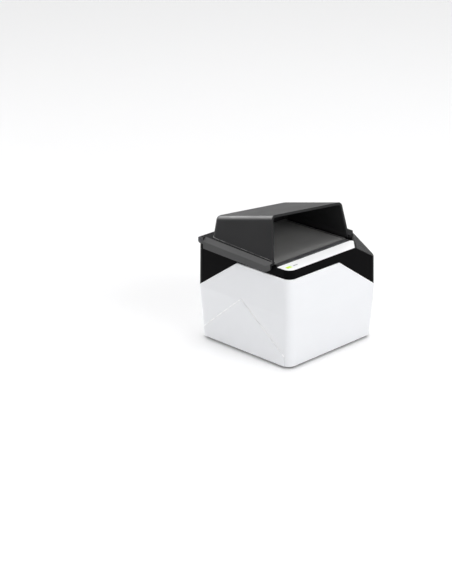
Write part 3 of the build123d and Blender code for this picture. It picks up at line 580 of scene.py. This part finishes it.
FINISHES: dict[str, Finish] = {
    finish.slot: finish
    for finish in (
        # The white's much lighter edge colour paints a highlight on the rim's bevel and the
        # chevron's slope, beside light wear.
        Moulded(
            "white_plastic", (0.775, 0.785, 0.805), roughness=0.34, grain_depth=0.05,
            variation=0.05, wear_and_highlight=1.3, wear_and_highlight_colour=(0.97, 0.975, 0.98), dust=0.0, tone=0.99,
        ),
        # The black's lighter edge colour is partly wear and partly a painted highlight on the
        # shell's top edge.
        Moulded(
            "black_gloss_plastic", (0.003, 0.003, 0.0033), roughness=0.24, specular=0.02,
            grain_depth=0.03, variation=0.05, wear_and_highlight=0.3, wear_and_highlight_colour=(0.012, 0.012, 0.012), dust=0.0,
        ),
        Moulded("dark_plastic", (0.03, 0.03, 0.032), roughness=0.5),
        Moulded("rubber", (0.02, 0.02, 0.02), roughness=0.8, grain_scale=900.0, grain_depth=0.6),
        Metal("steel", (0.60, 0.60, 0.61), roughness=0.32),
        Metal("pin_steel", (0.05, 0.05, 0.055), roughness=0.35),
        Glass("window_glass", (0.30, 0.30, 0.295), roughness=0.06, clear=0.2, dust=0.06),
        Moulded(
            "seal_rubber", (0.015, 0.015, 0.015), roughness=0.85, grain_scale=700.0, grain_depth=0.8
        ),
        Moulded("grey_plastic", (0.10, 0.10, 0.10), roughness=0.5, wear_and_highlight=0.0),
        Moulded(
            "label_white", (0.90, 0.90, 0.91), roughness=0.45, grain_depth=0.04,
            wear_and_highlight=0.1, wear_and_highlight_colour=(0.7, 0.7, 0.7), dust=0.0, tone=0.98,
        ),
        Lens("green_light", (0.55, 0.78, 0.04), glow=0.25),
        Lens("grey_light", (0.25, 0.26, 0.27)),
        CircuitBoard("circuit_board", (0.02, 0.12, 0.05)),
        Metal("brass", (0.70, 0.52, 0.22), roughness=0.28),
        Moulded("chamber_black", (0.01, 0.01, 0.01), roughness=0.75, grain_depth=0.4),
        Lens("lamp_white", (0.75, 0.72, 0.45)),
        Moulded("diffuser_white", (0.78, 0.78, 0.76), roughness=0.55),
        Moulded("lead_plastic", (0.45, 0.25, 0.08), roughness=0.35, variation=0.2),
        Moulded(
            "chip_black", (0.015, 0.015, 0.017), roughness=0.55, grain_scale=2500.0, grain_depth=0.4
        ),
        Lens("sensor_glass", (0.03, 0.04, 0.06), clear=0.3),
        Metal("lens_metal", (0.05, 0.05, 0.055), roughness=0.4),
        Glass("lens_glass", (0.55, 0.62, 0.70)),
        # The hood's much lighter edge colour paints a highlight on its rounded lips, edges and foot
        # line, beside light wear.
        Moulded(
            "hood_black", (0.024, 0.024, 0.025), roughness=0.46, specular=0.07, grain_depth=0.05,
            wear_and_highlight=1.3, wear_and_highlight_colour=(0.19, 0.19, 0.19), dust=0.0,
        ),
        # The frame's rail colour is a painted reflection of the table; its lighter edge colour is
        # partly wear and partly a painted highlight.
        Moulded(
            "frame_black", (0.020, 0.020, 0.021), roughness=0.6, specular=0.02, grain_scale=1100.0,
            grain_depth=0.15, wear_and_highlight=0.5, wear_and_highlight_colour=(0.10, 0.10, 0.10), dust=0.0,
            rail_reflection_colour=(0.085, 0.085, 0.086),
        ),
    )
}


# Mesh tools


def as_object(
    mesh: bmesh.types.BMesh, name: str, slot: str, sharp: float = SHARP_DEGREES
) -> bpy.types.Object:
    """Makes an object at the origin from a bmesh, smooth up to an angle, with its finish.

    Large flat faces with many corners stay flat, so that their corners' normals don't streak them.

    Args:
        mesh: The shape, which is freed.
        name: The piece's name.
        slot: The material slot's name.
        sharp: Edges turned by more degrees than this stay sharp.

    Returns:
        The new object.
    """
    for face in mesh.faces:
        face.smooth = len(face.verts) <= FEW_CORNERS or face.calc_area() < LARGE_FACE
    for edge in mesh.edges:
        edge.smooth = not edge.is_manifold or edge.calc_face_angle(0.0) < math.radians(sharp)
    data = bpy.data.meshes.new(name)
    mesh.to_mesh(data)
    mesh.free()
    data.materials.append(FINISHES[slot].material())
    made = bpy.data.objects.new(name, data)
    bpy.context.scene.collection.objects.link(made)
    return made


def blank_mesh() -> bmesh.types.BMesh:
    """Starts an empty mesh with the two marks that the finishes read.

    Returns:
        The mesh.
    """
    mesh = bmesh.new()
    mesh.faces.layers.float.new(RAIL_REFLECTION)
    mesh.faces.layers.float.new(WORN_AND_LIT)
    return mesh


def merged_copy(node: str) -> bmesh.types.BMesh:
    """Copies a CAD node's mesh and joins its loose triangles into flat faces.

    Args:
        node: The node's name.

    Returns:
        The copy.
    """
    mesh = blank_mesh()
    mesh.from_mesh(frame["nodes"][node].data)
    bmesh.ops.remove_doubles(mesh, verts=mesh.verts, dist=JOIN_REACH)
    bmesh.ops.dissolve_limit(
        mesh,
        angle_limit=math.radians(JOIN_DEGREES),
        verts=mesh.verts,
        edges=mesh.edges,
        use_dissolve_boundaries=False,
    )
    return mesh


def mark(mesh: bmesh.types.BMesh, layer: str, faces: Iterable[bmesh.types.BMFace]) -> None:
    """Sets a mark on faces.

    Args:
        mesh: The shape.
        layer: The mark's name.
        faces: The faces that get it.
    """
    values = mesh.faces.layers.float[layer]
    for face in faces:
        face[values] = 1.0


def cut_across(
    mesh: bmesh.types.BMesh, place: Sequence[float], outward: Vector, clear: bool = False
) -> list[bmesh.types.BMEdge]:
    """Cuts all faces by a plane.

    Args:
        mesh: The shape.
        place: A point on the plane.
        outward: The plane's normal.
        clear: Whether what lies outwards of it is removed.

    Returns:
        The edges on the cut.
    """
    parts = [*mesh.verts, *mesh.edges, *mesh.faces]
    cut = bmesh.ops.bisect_plane(
        mesh, geom=parts, dist=CUT_REACH, plane_co=place, plane_no=outward, clear_outer=clear
    )
    return [part for part in cut["geom_cut"] if isinstance(part, bmesh.types.BMEdge)]


def inset(
    mesh: bmesh.types.BMesh, faces: list[bmesh.types.BMFace], thickness: float, depth: float = 0.0
) -> list[bmesh.types.BMFace]:
    """Insets a group of faces as one.

    Args:
        mesh: The shape.
        faces: The group.
        thickness: How far the group's edge is drawn in.
        depth: How far the group is raised, or pressed in where it is below 0.

    Returns:
        The new faces around the group.
    """
    made = bmesh.ops.inset_region(
        mesh, faces=faces, thickness=thickness, depth=depth, use_boundary=True, use_even_offset=True
    )
    return made["faces"]


def island_boxes(node: str) -> list[tuple[Vector, Vector]]:
    """Finds the box of each separate solid in a CAD node.

    Args:
        node: The node's name.

    Returns:
        Each solid's lowest and highest corner.
    """
    mesh = merged_copy(node)
    left = set(mesh.verts)
    boxes = []
    while left:
        island = []
        queue = [left.pop()]
        while queue:
            vert = queue.pop()
            island.append(vert.co)
            near = {edge.other_vert(vert) for edge in vert.link_edges} & left
            left -= near
            queue.extend(near)
        low = Vector(min(place[axis] for place in island) for axis in range(3))
        high = Vector(max(place[axis] for place in island) for axis in range(3))
        boxes.append((low, high))
    mesh.free()
    return boxes


def soften(
    mesh: bmesh.types.BMesh,
    edges: Iterable[bmesh.types.BMEdge],
    width: float,
    segments: int,
    clamp: bool = True,
) -> None:
    """Rounds edges by a bevel and marks the new strips for wear and a painted highlight.

    Args:
        mesh: The shape.
        edges: The edges to round.
        width: The bevel's width in metres.
        segments: How many strips it has.
        clamp: Whether short edges nearby may narrow the whole bevel.
    """
    made = bmesh.ops.bevel(
        mesh,
        geom=list(edges),
        offset=width,
        offset_type="OFFSET",
        affect="EDGES",
        segments=segments,
        profile=0.5,
        material=-1,
        clamp_overlap=clamp,
        loop_slide=True,
    )
    mark(mesh, WORN_AND_LIT, made["faces"])


@dataclass(frozen=True)
class Rounding:
    """One bevel: which edges it takes, how wide it is and how many strips it has.

    Where merge is above 0, points along those edges that lie closer together are joined first, and
    short edges nearby don't narrow the bevel.
    """

    takes: Callable[[bmesh.types.BMEdge], bool]
    width: float
    segments: int = 2
    merge: float = 0.0

    def apply(self, mesh: bmesh.types.BMesh) -> None:
        """Rounds the edges.

        Args:
            mesh: The shape.
        """
        edges = [edge for edge in mesh.edges if self.takes(edge)]
        if self.merge:
            near = {vert for edge in edges for vert in edge.verts}
            for vert in list(near):
                short = [edge for edge in vert.link_edges if edge.calc_length() < self.merge]
                near.update(edge.other_vert(vert) for edge in short)
            bmesh.ops.remove_doubles(mesh, verts=list(near), dist=self.merge)
            mesh.normal_update()
            edges = [edge for edge in mesh.edges if self.takes(edge)]
        soften(mesh, edges, self.width, self.segments, clamp=not self.merge)


def turned(above: float) -> Callable[[bmesh.types.BMEdge], bool]:
    """Makes a test for edges that turn by more than an angle.

    Args:
        above: The angle in degrees.

    Returns:
        The test.
    """
    return lambda edge: edge.is_manifold and edge.calc_face_angle(0.0) > math.radians(above)


def outside(rising: float, low: float, high: float) -> Callable[[bmesh.types.BMEdge], bool]:
    """Makes a test for edges between the case's outer wall and a face that looks up or down.

    Args:
        rising: 1 for a face that looks up, -1 for one that looks down.
        low: The lowest level of such edges.
        high: The highest level.

    Returns:
        The test.
    """

    def takes(edge: bmesh.types.BMEdge) -> bool:
        """Says whether an edge is one of them."""
        middle = (edge.verts[0].co + edge.verts[1].co) / 2
        beyond = [max(abs(side) - CORE_HALF, 0.0) for side in (middle.x, middle.y)]
        on_wall = math.hypot(*beyond) >= WALL_REACH and low < middle.z < high
        if not on_wall or not turned(CORNER_DEGREES)(edge):
            return False
        away = Vector((middle.x, middle.y, 0.0)).normalized()
        wall = max(face.normal.dot(away) for face in edge.link_faces)
        cap = max(rising * face.normal.z for face in edge.link_faces)
        return wall > WALL_FACING and cap > CAP_FACING

    return takes


def rounded(width: float, segments: int = 2) -> tuple[Rounding, ...]:
    """Gives the one rounding of a piece whose corners are all alike.

    Args:
        width: The bevel's width in metres.
        segments: How many strips it has.

    Returns:
        The rounding, as a tuple.
    """
    return (Rounding(turned(CORNER_DEGREES), width, segments),)


# Pieces


@dataclass
class DressedNode:
    """A CAD node's shape with rounded edges and added details, which stands for the node."""

    node: str
    slot: str
    body: Body = Body.CASE
    roundings: tuple[Rounding, ...] = rounded(0.2 * MM)
    sharp: float = SHARP_DEGREES

    def detail(self, mesh: bmesh.types.BMesh) -> None:
        """Adds what the plain solid leaves out; a plain node has nothing to add.

        Args:
            mesh: The copy of the node.
        """

    def build(self) -> bpy.types.Object:
        """Copies the node, adds its details, rounds its edges and puts it in the node's place.

        Returns:
            The new piece.
        """
        mesh = merged_copy(self.node)
        self.detail(mesh)
        for rounding in self.roundings:
            rounding.apply(mesh)
        piece = as_object(mesh, f"{self.node}_dressed", self.slot, self.sharp)
        return settle(piece, self.body, self.slot, self.node)


def settle(piece: bpy.types.Object, body: Body, slot: str, *nodes: str) -> bpy.types.Object:
    """Rides a piece on its body and hides the nodes that it stands for.

    Args:
        piece: The piece.
        body: The body that carries it.
        slot: The material slot that its finish comes from; not used.
        *nodes: The CAD nodes that it replaces, if any.

    Returns:
        The same piece.
    """
    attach(piece, body.value)
    if nodes:
        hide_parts(*nodes)
    return piece


@dataclass
class LowerShell(DressedNode):
    """The white lower shell: a soft rim, a rounded foot and the chevron's sloping step, whose
    strips are painted lighter as a highlight.
    """

    node: str = "lower_shell"
    slot: str = "white_plastic"
    roundings: tuple[Rounding, ...] = (
        Rounding(outside(1.0, 40.0 * MM, 90.0 * MM), 0.6 * MM, 3, 0.45 * MM),
        Rounding(outside(-1.0, 0.0, 6.0 * MM), 0.5 * MM, 3, 0.3 * MM),
    )
    sharp: float = 20.0
    chevron_side: float = -49.5 * MM
    chevron_top: float = 60.0 * MM
    apex: tuple[float, float] = (0.4 * MM, 48.5 * MM)
    apex_half: float = 0.5 * MM
    leg: tuple[float, float] = (0.775, 0.632)
    leg_half: float = 0.3 * MM
    ridge_degrees: float = 30.0
    slope_run: float = 0.9 * MM
    slope_facing: tuple[float, float] = (-0.5, 0.25)
    taper: float = 0.0545

    def on_side(self, place: Vector) -> bool:
        """Says whether a point is on the left wall, at the chevron's level.

        Args:
            place: The point.

        Returns:
            Whether it is.
        """
        return place.x < self.chevron_side and place.z < self.chevron_top

    def detail(self, mesh: bmesh.types.BMesh) -> None:
        """Draws the raised panel's upper edge inwards, so that its step becomes a slope, and marks
        the slope so that it is painted lighter as a highlight.

        Args:
            mesh: The copy of the node.
        """
        apex_y, apex_z = self.apex
        along, down = self.leg
        convex = turned(self.ridge_degrees)
        for vert in mesh.verts:
            ridge = any(convex(edge) and edge.is_convex for edge in vert.link_edges)
            if not (self.on_side(vert.co) and ridge):
                continue
            offset_y, offset_z = vert.co.y - apex_y, apex_z - vert.co.z
            if abs(offset_z * along - abs(offset_y) * down) > self.leg_half:
                continue
            if abs(offset_y) < self.apex_half:
                shift_y, drop = 0.0, self.slope_run / along
            else:
                shift_y = -math.copysign(self.slope_run * down, offset_y)
                drop = self.slope_run * along
            vert.co.y += shift_y
            vert.co.z -= drop
            vert.co.x += self.taper * drop
        mesh.normal_update()
        facing_x, facing_z = self.slope_facing
        side = [face for face in mesh.faces if self.on_side(face.calc_center_median())]
        sloping = [face for face in side if face.normal.x < facing_x and face.normal.z > facing_z]
        # Painted highlight: the slope's faces take the white's lighter edge colour.
        mark(mesh, WORN_AND_LIT, sloping)


@dataclass
class UpperShell(DressedNode):
    """The glossy black upper shell with a soft top edge, painted a little lighter as a highlight.
    """

    node: str = "upper_shell"
    slot: str = "black_gloss_plastic"
    roundings: tuple[Rounding, ...] = (Rounding(outside(1.0, 60.0 * MM, 90.0 * MM), 0.4 * MM, 3),)


@dataclass
class HoodCover(DressedNode):
    """The hood's cover: rounded lips at its mouth and a thin raised line round its foot, painted
    lighter as highlights.
    """

    node: str = "hood_cover"
    slot: str = "hood_black"
    body: Body = Body.HOOD
    roundings: tuple[Rounding, ...] = rounded(0.4 * MM)
    foot: tuple[float, float, float] = (0.0, -36.2 * MM, 87.5 * MM)
    foot_slope: float = 0.0389
    middle: tuple[float, float] = (-6.4 * MM, 2.0 * MM)
    line_start: float = 0.02 * MM
    line_height: float = 0.8 * MM
    line_inset: float = 0.2 * MM
    line_rise: float = 0.35 * MM

    def detail(self, mesh: bmesh.types.BMesh) -> None:
        """Cuts a low band round the outside of the foot and raises it, marked so that it is painted
        lighter as a highlight.

        Args:
            mesh: The copy of the node.
        """
        foot = Vector(self.foot)
        level = Vector((0.0, -self.foot_slope, 1.0)).normalized()
        cut_across(mesh, foot + level * self.line_height, level)
        band = []
        for face in mesh.faces:
            place = face.calc_center_median()
            away = Vector((place.x - self.middle[0], place.y - self.middle[1], 0.0)).normalized()
            low = self.line_start < (place - foot).dot(level) < self.line_height
            if low and face.normal.dot(away) > WALL_FACING:
                band.append(face)
        # Painted highlight: the raised band takes the hood's lighter edge colour.
        mark(mesh, WORN_AND_LIT, inset(mesh, band, self.line_inset, self.line_rise))


@dataclass
class HoodFrame(DressedNode):
    """The hood's frame, whose overhanging side rail is painted a lighter grey as a reflection of
    the pale table.
    """

    node: str = "hood_frame"
    slot: str = "frame_black"
    body: Body = Body.HOOD
    roundings: tuple[Rounding, ...] = rounded(0.3 * MM)
    rail_side: float = -53.6 * MM
    rail_facing: float = -0.2
    skirt_side: float = -52.9 * MM
    skirt_top: float = 83.0 * MM
    nose_run: float = 9.0 * MM
    nose_height: float = 4.6 * MM
    nose_cuts: int = 8

    def detail(self, mesh: bmesh.types.BMesh) -> None:
        """Rounds the skirt's lower front corner by an arc of cuts and marks the rail's outer faces
        for a painted reflection.

        Args:
            mesh: The copy of the node.
        """
        side = [vert.co for vert in mesh.verts if vert.co.x < self.skirt_side]
        skirt = [place for place in side if place.z < self.skirt_top]
        front, foot = min(place.y for place in skirt), min(place.z for place in skirt)
        for step in range(self.nose_cuts):
            turn = math.pi / 2 * (step + 0.5) / self.nose_cuts
            across, down = math.sin(turn), math.cos(turn)
            forward, upward = self.nose_run * (1.0 - across), self.nose_height * (1.0 - down)
            outward = Vector((0.0, -across / self.nose_run, -down / self.nose_height)).normalized()
            edges = cut_across(mesh, (0.0, front + forward, foot + upward), outward, clear=True)
            if edges:
                bmesh.ops.holes_fill(mesh, edges=edges, sides=0)
        # Painted reflection: the rail's outward faces are marked for a lighter grey.
        outer = [face for face in mesh.faces if face.normal.x < self.rail_facing]
        mark(mesh, RAIL_REFLECTION, (face for face in outer if face.calc_center_median().x < self.rail_side))


@dataclass
class FootMat(DressedNode):
    """The rubber mat that the scanner stands on, recessed inside a narrow rim."""

    node: str = "foot_mat"
    slot: str = "rubber"
    rim: float = 3.0 * MM
    recess: float = 0.3 * MM
    sole_facing: float = -0.9

    def detail(self, mesh: bmesh.types.BMesh) -> None:
        """Insets the underside and presses it in.

        Args:
            mesh: The copy of the node.
        """
        sole = [face for face in mesh.faces if face.normal.z < self.sole_facing]
        inset(mesh, sole, self.rim)
        sole = [face for face in sole if face.is_valid]
        inset(mesh, sole, self.recess, -self.recess)


@dataclass
class ScrewSet:
    """A set of screws with hexagon sockets, which stands for a node of plain screws.

    The socket's depth is key_share of the head's height.
    """

    node: str
    shaft_radius: float
    head_height: float
    key_radius: float
    head_up: bool = False
    slot: str = "steel"
    segments: int = 30
    key_corners: int = 6
    key_share: float = 0.6
    rim_degrees: float = 60.0
    rim_width: float = 0.12 * MM

    @staticmethod
    def ring(
        mesh: bmesh.types.BMesh, radius: float, count: int, place: Sequence[float]
    ) -> list[bmesh.types.BMEdge]:
        """Makes an open level ring of edges.

        Args:
            mesh: The mesh that takes the ring.
            radius: Its radius.
            count: How many corners it has.
            place: Its middle.

        Returns:
            The ring's edges.
        """
        made = bmesh.ops.create_circle(
            mesh, cap_ends=False, segments=count, radius=radius, matrix=Matrix.Translation(place)
        )
        return list({edge for vert in made["verts"] for edge in vert.link_edges})

    @staticmethod
    def raised(
        mesh: bmesh.types.BMesh, edges: Sequence[bmesh.types.BMEdge], height: float
    ) -> list[bmesh.types.BMEdge]:
        """Extrudes a ring along the screw.

        Args:
            mesh: The mesh.
            edges: The ring.
            height: How far it goes, along +Z.

        Returns:
            The new ring's edges.
        """
        made = bmesh.ops.extrude_edge_only(mesh, edges=edges)["geom"]
        verts = [part for part in made if isinstance(part, bmesh.types.BMVert)]
        bmesh.ops.translate(mesh, verts=verts, vec=(0.0, 0.0, height))
        return [part for part in made if isinstance(part, bmesh.types.BMEdge) and part.is_boundary]

    def screw(self, mesh: bmesh.types.BMesh, low: Vector, high: Vector) -> None:
        """Builds one screw in the box of a plain one.

        Args:
            mesh: The mesh that takes the screw.
            low: The plain screw's lowest corner.
            high: Its highest corner.
        """
        way = -1.0 if self.head_up else 1.0
        start = high.z if self.head_up else low.z
        head_radius = (high.x - low.x) / 2
        length = high.z - low.z - self.head_height
        middle = ((low.x + high.x) / 2, (low.y + high.y) / 2)
        top = (*middle, start)
        below = (*middle, start + way * self.head_height)
        rim = self.ring(mesh, head_radius, self.segments, top)
        key = self.ring(mesh, self.key_radius, self.key_corners, top)
        bmesh.ops.bridge_loops(mesh, edges=[*rim, *key])
        floor = self.raised(mesh, key, way * self.key_share * self.head_height)
        bmesh.ops.holes_fill(mesh, edges=floor, sides=self.key_corners)
        seat = self.raised(mesh, rim, way * self.head_height)
        neck = self.ring(mesh, self.shaft_radius, self.segments, below)
        bmesh.ops.bridge_loops(mesh, edges=[*seat, *neck])
        tip = self.raised(mesh, neck, way * length)
        bmesh.ops.holes_fill(mesh, edges=tip, sides=self.segments)

    def build(self) -> bpy.types.Object:
        """Builds a screw in each plain screw's place.

        Returns:
            The new piece.
        """
        mesh = blank_mesh()
        for low, high in island_boxes(self.node):
            self.screw(mesh, low, high)
        bmesh.ops.recalc_face_normals(mesh, faces=mesh.faces)
        Rounding(turned(self.rim_degrees), self.rim_width).apply(mesh)
        piece = as_object(mesh, f"{self.node}_dressed", self.slot)
        return settle(piece, Body.CASE, self.slot, self.node)


@dataclass
class SocketContacts:
    """The four gilt contacts on the tongue of the rear socket."""

    width: float = 1.1 * MM
    thickness: float = 0.12 * MM
    length: float = 6.5 * MM
    pitch: float = 2.6 * MM
    tongue_height: float = 3.2 * MM
    setback: float = 1.0 * MM
    edge_width: float = 0.03 * MM
    slot: str = "brass"

    def build(self) -> bpy.types.Object:
        """Lays two contacts on top of the tongue and two below it.

        Returns:
            The new piece.
        """
        low, high = (Vector(corner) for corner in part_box("usb_socket"))
        middle = (low + high) / 2
        mesh = blank_mesh()
        for side in (-1, 1):
            for level in (-1, 1):
                place = Vector((
                    middle.x + side * self.pitch / 2,
                    high.y - self.setback - self.length / 2,
                    middle.z + level * (self.tongue_height + self.thickness) / 2,
                ))
                shape = Matrix.Diagonal((self.width, self.length, self.thickness, 1.0))
                bmesh.ops.create_cube(mesh, size=1.0, matrix=Matrix.Translation(place) @ shape)
        soften(mesh, mesh.edges, self.edge_width, segments=1)
        return settle(as_object(mesh, "socket_contacts", self.slot), Body.CASE, self.slot)


# Stage


@dataclass(frozen=True)
class Camera:
    """The camera at the photograph's place, for a frame of 452 by 584."""

    azimuth: float = -44.28
    pitch: float = 21.58
    roll: float = -0.55
    distance: float = 1.3901
    target: tuple[float, float, float] = (-0.03655, 0.03372, 0.040)
    focal_pixels: float = 1700.0
    long_side: float = 584.0
    sensor: float = 36.0

    def build(self) -> None:
        """Makes the camera and gives it to the scene."""
        data = bpy.data.cameras.new("camera")
        data.sensor_width = self.sensor
        data.lens = self.sensor * self.focal_pixels / self.long_side
        made = bpy.data.objects.new("camera", data)
        turn, rise, roll = (math.radians(angle) for angle in (self.azimuth, self.pitch, self.roll))
        flat = math.cos(rise)
        back = Vector((math.sin(turn) * flat, -math.cos(turn) * flat, math.sin(rise)))
        side = (-back).cross(Vector((0.0, 0.0, 1.0))).normalized()
        upward = side.cross(-back)
        side, upward = (
            side * math.cos(roll) + upward * math.sin(roll),
            upward * math.cos(roll) - side * math.sin(roll),
        )
        place = Matrix.Translation(Vector(self.target) + back * self.distance)
        made.matrix_world = place @ Matrix((side, upward, back)).transposed().to_4x4()
        bpy.context.scene.collection.objects.link(made)
        bpy.context.scene.camera = made


@dataclass(frozen=True)
class SoftLamp:
    """A rectangular lamp that faces the scanner; one kind shows only as a shine."""

    name: str
    place: tuple[float, float, float]
    width: float
    height: float
    power: float
    shine_only: bool = False
    aim: tuple[float, float, float] = (0.0, 0.0, 0.05)

    def build(self) -> None:
        """Makes the lamp."""
        data = bpy.data.lights.new(self.name, "AREA")
        data.shape = "RECTANGLE"
        data.size = self.width
        data.size_y = self.height
        data.energy = self.power
        made = bpy.data.objects.new(self.name, data)
        made.visible_diffuse = not self.shine_only
        made.location = self.place
        made.rotation_mode = "QUATERNION"
        made.rotation_quaternion = (Vector(self.aim) - Vector(self.place)).to_track_quat("-Z", "Y")
        bpy.context.scene.collection.objects.link(made)


@dataclass(frozen=True)
class Studio:
    """The pale table, the soft lamps and the world's even light."""

    table_size: float = 6.0
    table_colour: Colour = (0.80, 0.80, 0.805)
    table_roughness: float = 0.3
    table_lift: float = 0.10
    world_level: float = 0.60
    lamps: tuple[SoftLamp, ...] = (
        SoftLamp("key", (0.1, -1.5, 0.9), 0.7, 0.7, 12.0),
        SoftLamp("side", (-1.6, 0.1, 0.9), 0.7, 0.7, 3.8),
        SoftLamp("top", (0.2, 0.0, 1.7), 0.9, 0.9, 12.0),
        SoftLamp("strip", (-0.3, 1.3, 0.95), 1.6, 0.45, 120.0, shine_only=True),
    )

    @staticmethod
    def seen_white(graph: Graph) -> bpy.types.NodeSocket:
        """Finds the rays that show the background itself: camera, glossy and transmission rays.

        Args:
            graph: The material's or the world's graph.

        Returns:
            A socket that is 1 for those rays.
        """
        path = graph.add("LightPath")
        seen = graph.math("MAXIMUM", path.outputs["Is Camera Ray"], path.outputs["Is Glossy Ray"])
        return graph.math("MAXIMUM", seen, path.outputs["Is Transmission Ray"])

    def world(self) -> None:
        """Fills the world with an even grey that is seen as white."""
        world = bpy.data.worlds.new("world")
        world.use_nodes = True
        world.node_tree.nodes.clear()
        graph = Graph(world.node_tree)
        level = graph.remap(self.seen_white(graph), (0.0, 1.0), (self.world_level, 1.0))
        back = graph.feed(graph.add("Background"), Color=WHITE, Strength=level)
        graph.feed(graph.add("OutputWorld"), Surface=back.outputs[0])
        bpy.context.scene.world = world

    def table(self) -> None:
        """Makes the table's top, seen as white, with the scanner's shadow on it."""
        mesh = bmesh.new()
        bmesh.ops.create_grid(mesh, x_segments=1, y_segments=1, size=self.table_size)
        data = bpy.data.meshes.new("table")
        mesh.to_mesh(data)
        mesh.free()
        made = bpy.data.objects.new("table", data)
        bpy.context.scene.collection.objects.link(made)
        top = bpy.data.materials.new("table_top")
        top.use_nodes = True
        top.node_tree.nodes.clear()
        graph = Graph(top.node_tree)
        shader = graph.add("BsdfPrincipled")
        lift = graph.remap(self.seen_white(graph), (0.0, 1.0), (0.0, self.table_lift))
        graph.feed(
            shader,
            Base_Color=(*self.table_colour, 1.0),
            Roughness=self.table_roughness,
            Emission_Color=WHITE,
            Emission_Strength=lift,
        )
        graph.feed(graph.add("OutputMaterial"), Surface=shader.outputs[0])
        data.materials.append(top)

    def build(self) -> None:
        """Builds the world, the table and the lamps."""
        self.world()
        self.table()
        for lamp in self.lamps:
            lamp.build()


def dress_nodes() -> int:
    """Gives every CAD node its slot's finish; the pieces built later hide some of the nodes.

    Returns:
        How many nodes were dressed.
    """
    slots = {part["node"]: part["material_slot"] for part in frame["record"]["subparts"]}
    for name, node in frame["nodes"].items():
        finish = FINISHES[slots[name]].material()
        node.data.materials.clear()
        node.data.materials.append(finish)
    return len(frame["nodes"])


def main() -> None:
    """Builds the pieces in order and reports each one."""
    logging.basicConfig(level=logging.INFO, format="%(name)s: %(message)s")
    bpy.context.scene.view_settings.view_transform = "Standard"
    Camera().build()
    Studio().build()
    log.info("dressed %d nodes", dress_nodes())
    fine = rounded(0.12 * MM)
    pieces = [
        LowerShell(),
        UpperShell(),
        HoodCover(),
        HoodFrame(),
        DressedNode("label_strip", "label_white", roundings=fine),
        DressedNode("rib_strip", "dark_plastic", roundings=rounded(0.15 * MM, 3)),
        DressedNode("window_frame", "grey_plastic", roundings=rounded(0.1 * MM)),
        DressedNode("ready_light_pipe", "green_light", roundings=fine),
        DressedNode("busy_light_pipe", "grey_light", roundings=fine),
        DressedNode("base_plate", "dark_plastic"),
        FootMat(),
        ScrewSet("base_screws", shaft_radius=1.5 * MM, head_height=1.8 * MM, key_radius=1.3 * MM),
        ScrewSet("case_screws", shaft_radius=1.5 * MM, head_height=1.8 * MM, key_radius=1.3 * MM),
        ScrewSet(
            "board_screws",
            shaft_radius=1.2 * MM,
            head_height=1.3 * MM,
            key_radius=1.0 * MM,
            head_up=True,
        ),
        ScrewSet("hinge_screws", shaft_radius=1.0 * MM, head_height=1.2 * MM, key_radius=0.8 * MM),
        DressedNode("usb_socket", "steel", roundings=fine),
        SocketContacts(),
        DressedNode("hinge_bracket_left", "steel", roundings=fine),
        DressedNode("hinge_bracket_right", "steel", roundings=fine),
        DressedNode("hinge_pin_left", "pin_steel", Body.HOOD, fine),
        DressedNode("hinge_pin_right", "pin_steel", Body.HOOD, fine),
    ]
    for piece in pieces:
        made = piece.build()
        log.info("%s: %d faces", made.name, len(made.data.polygons))


if __name__ == "__main__":
    main()
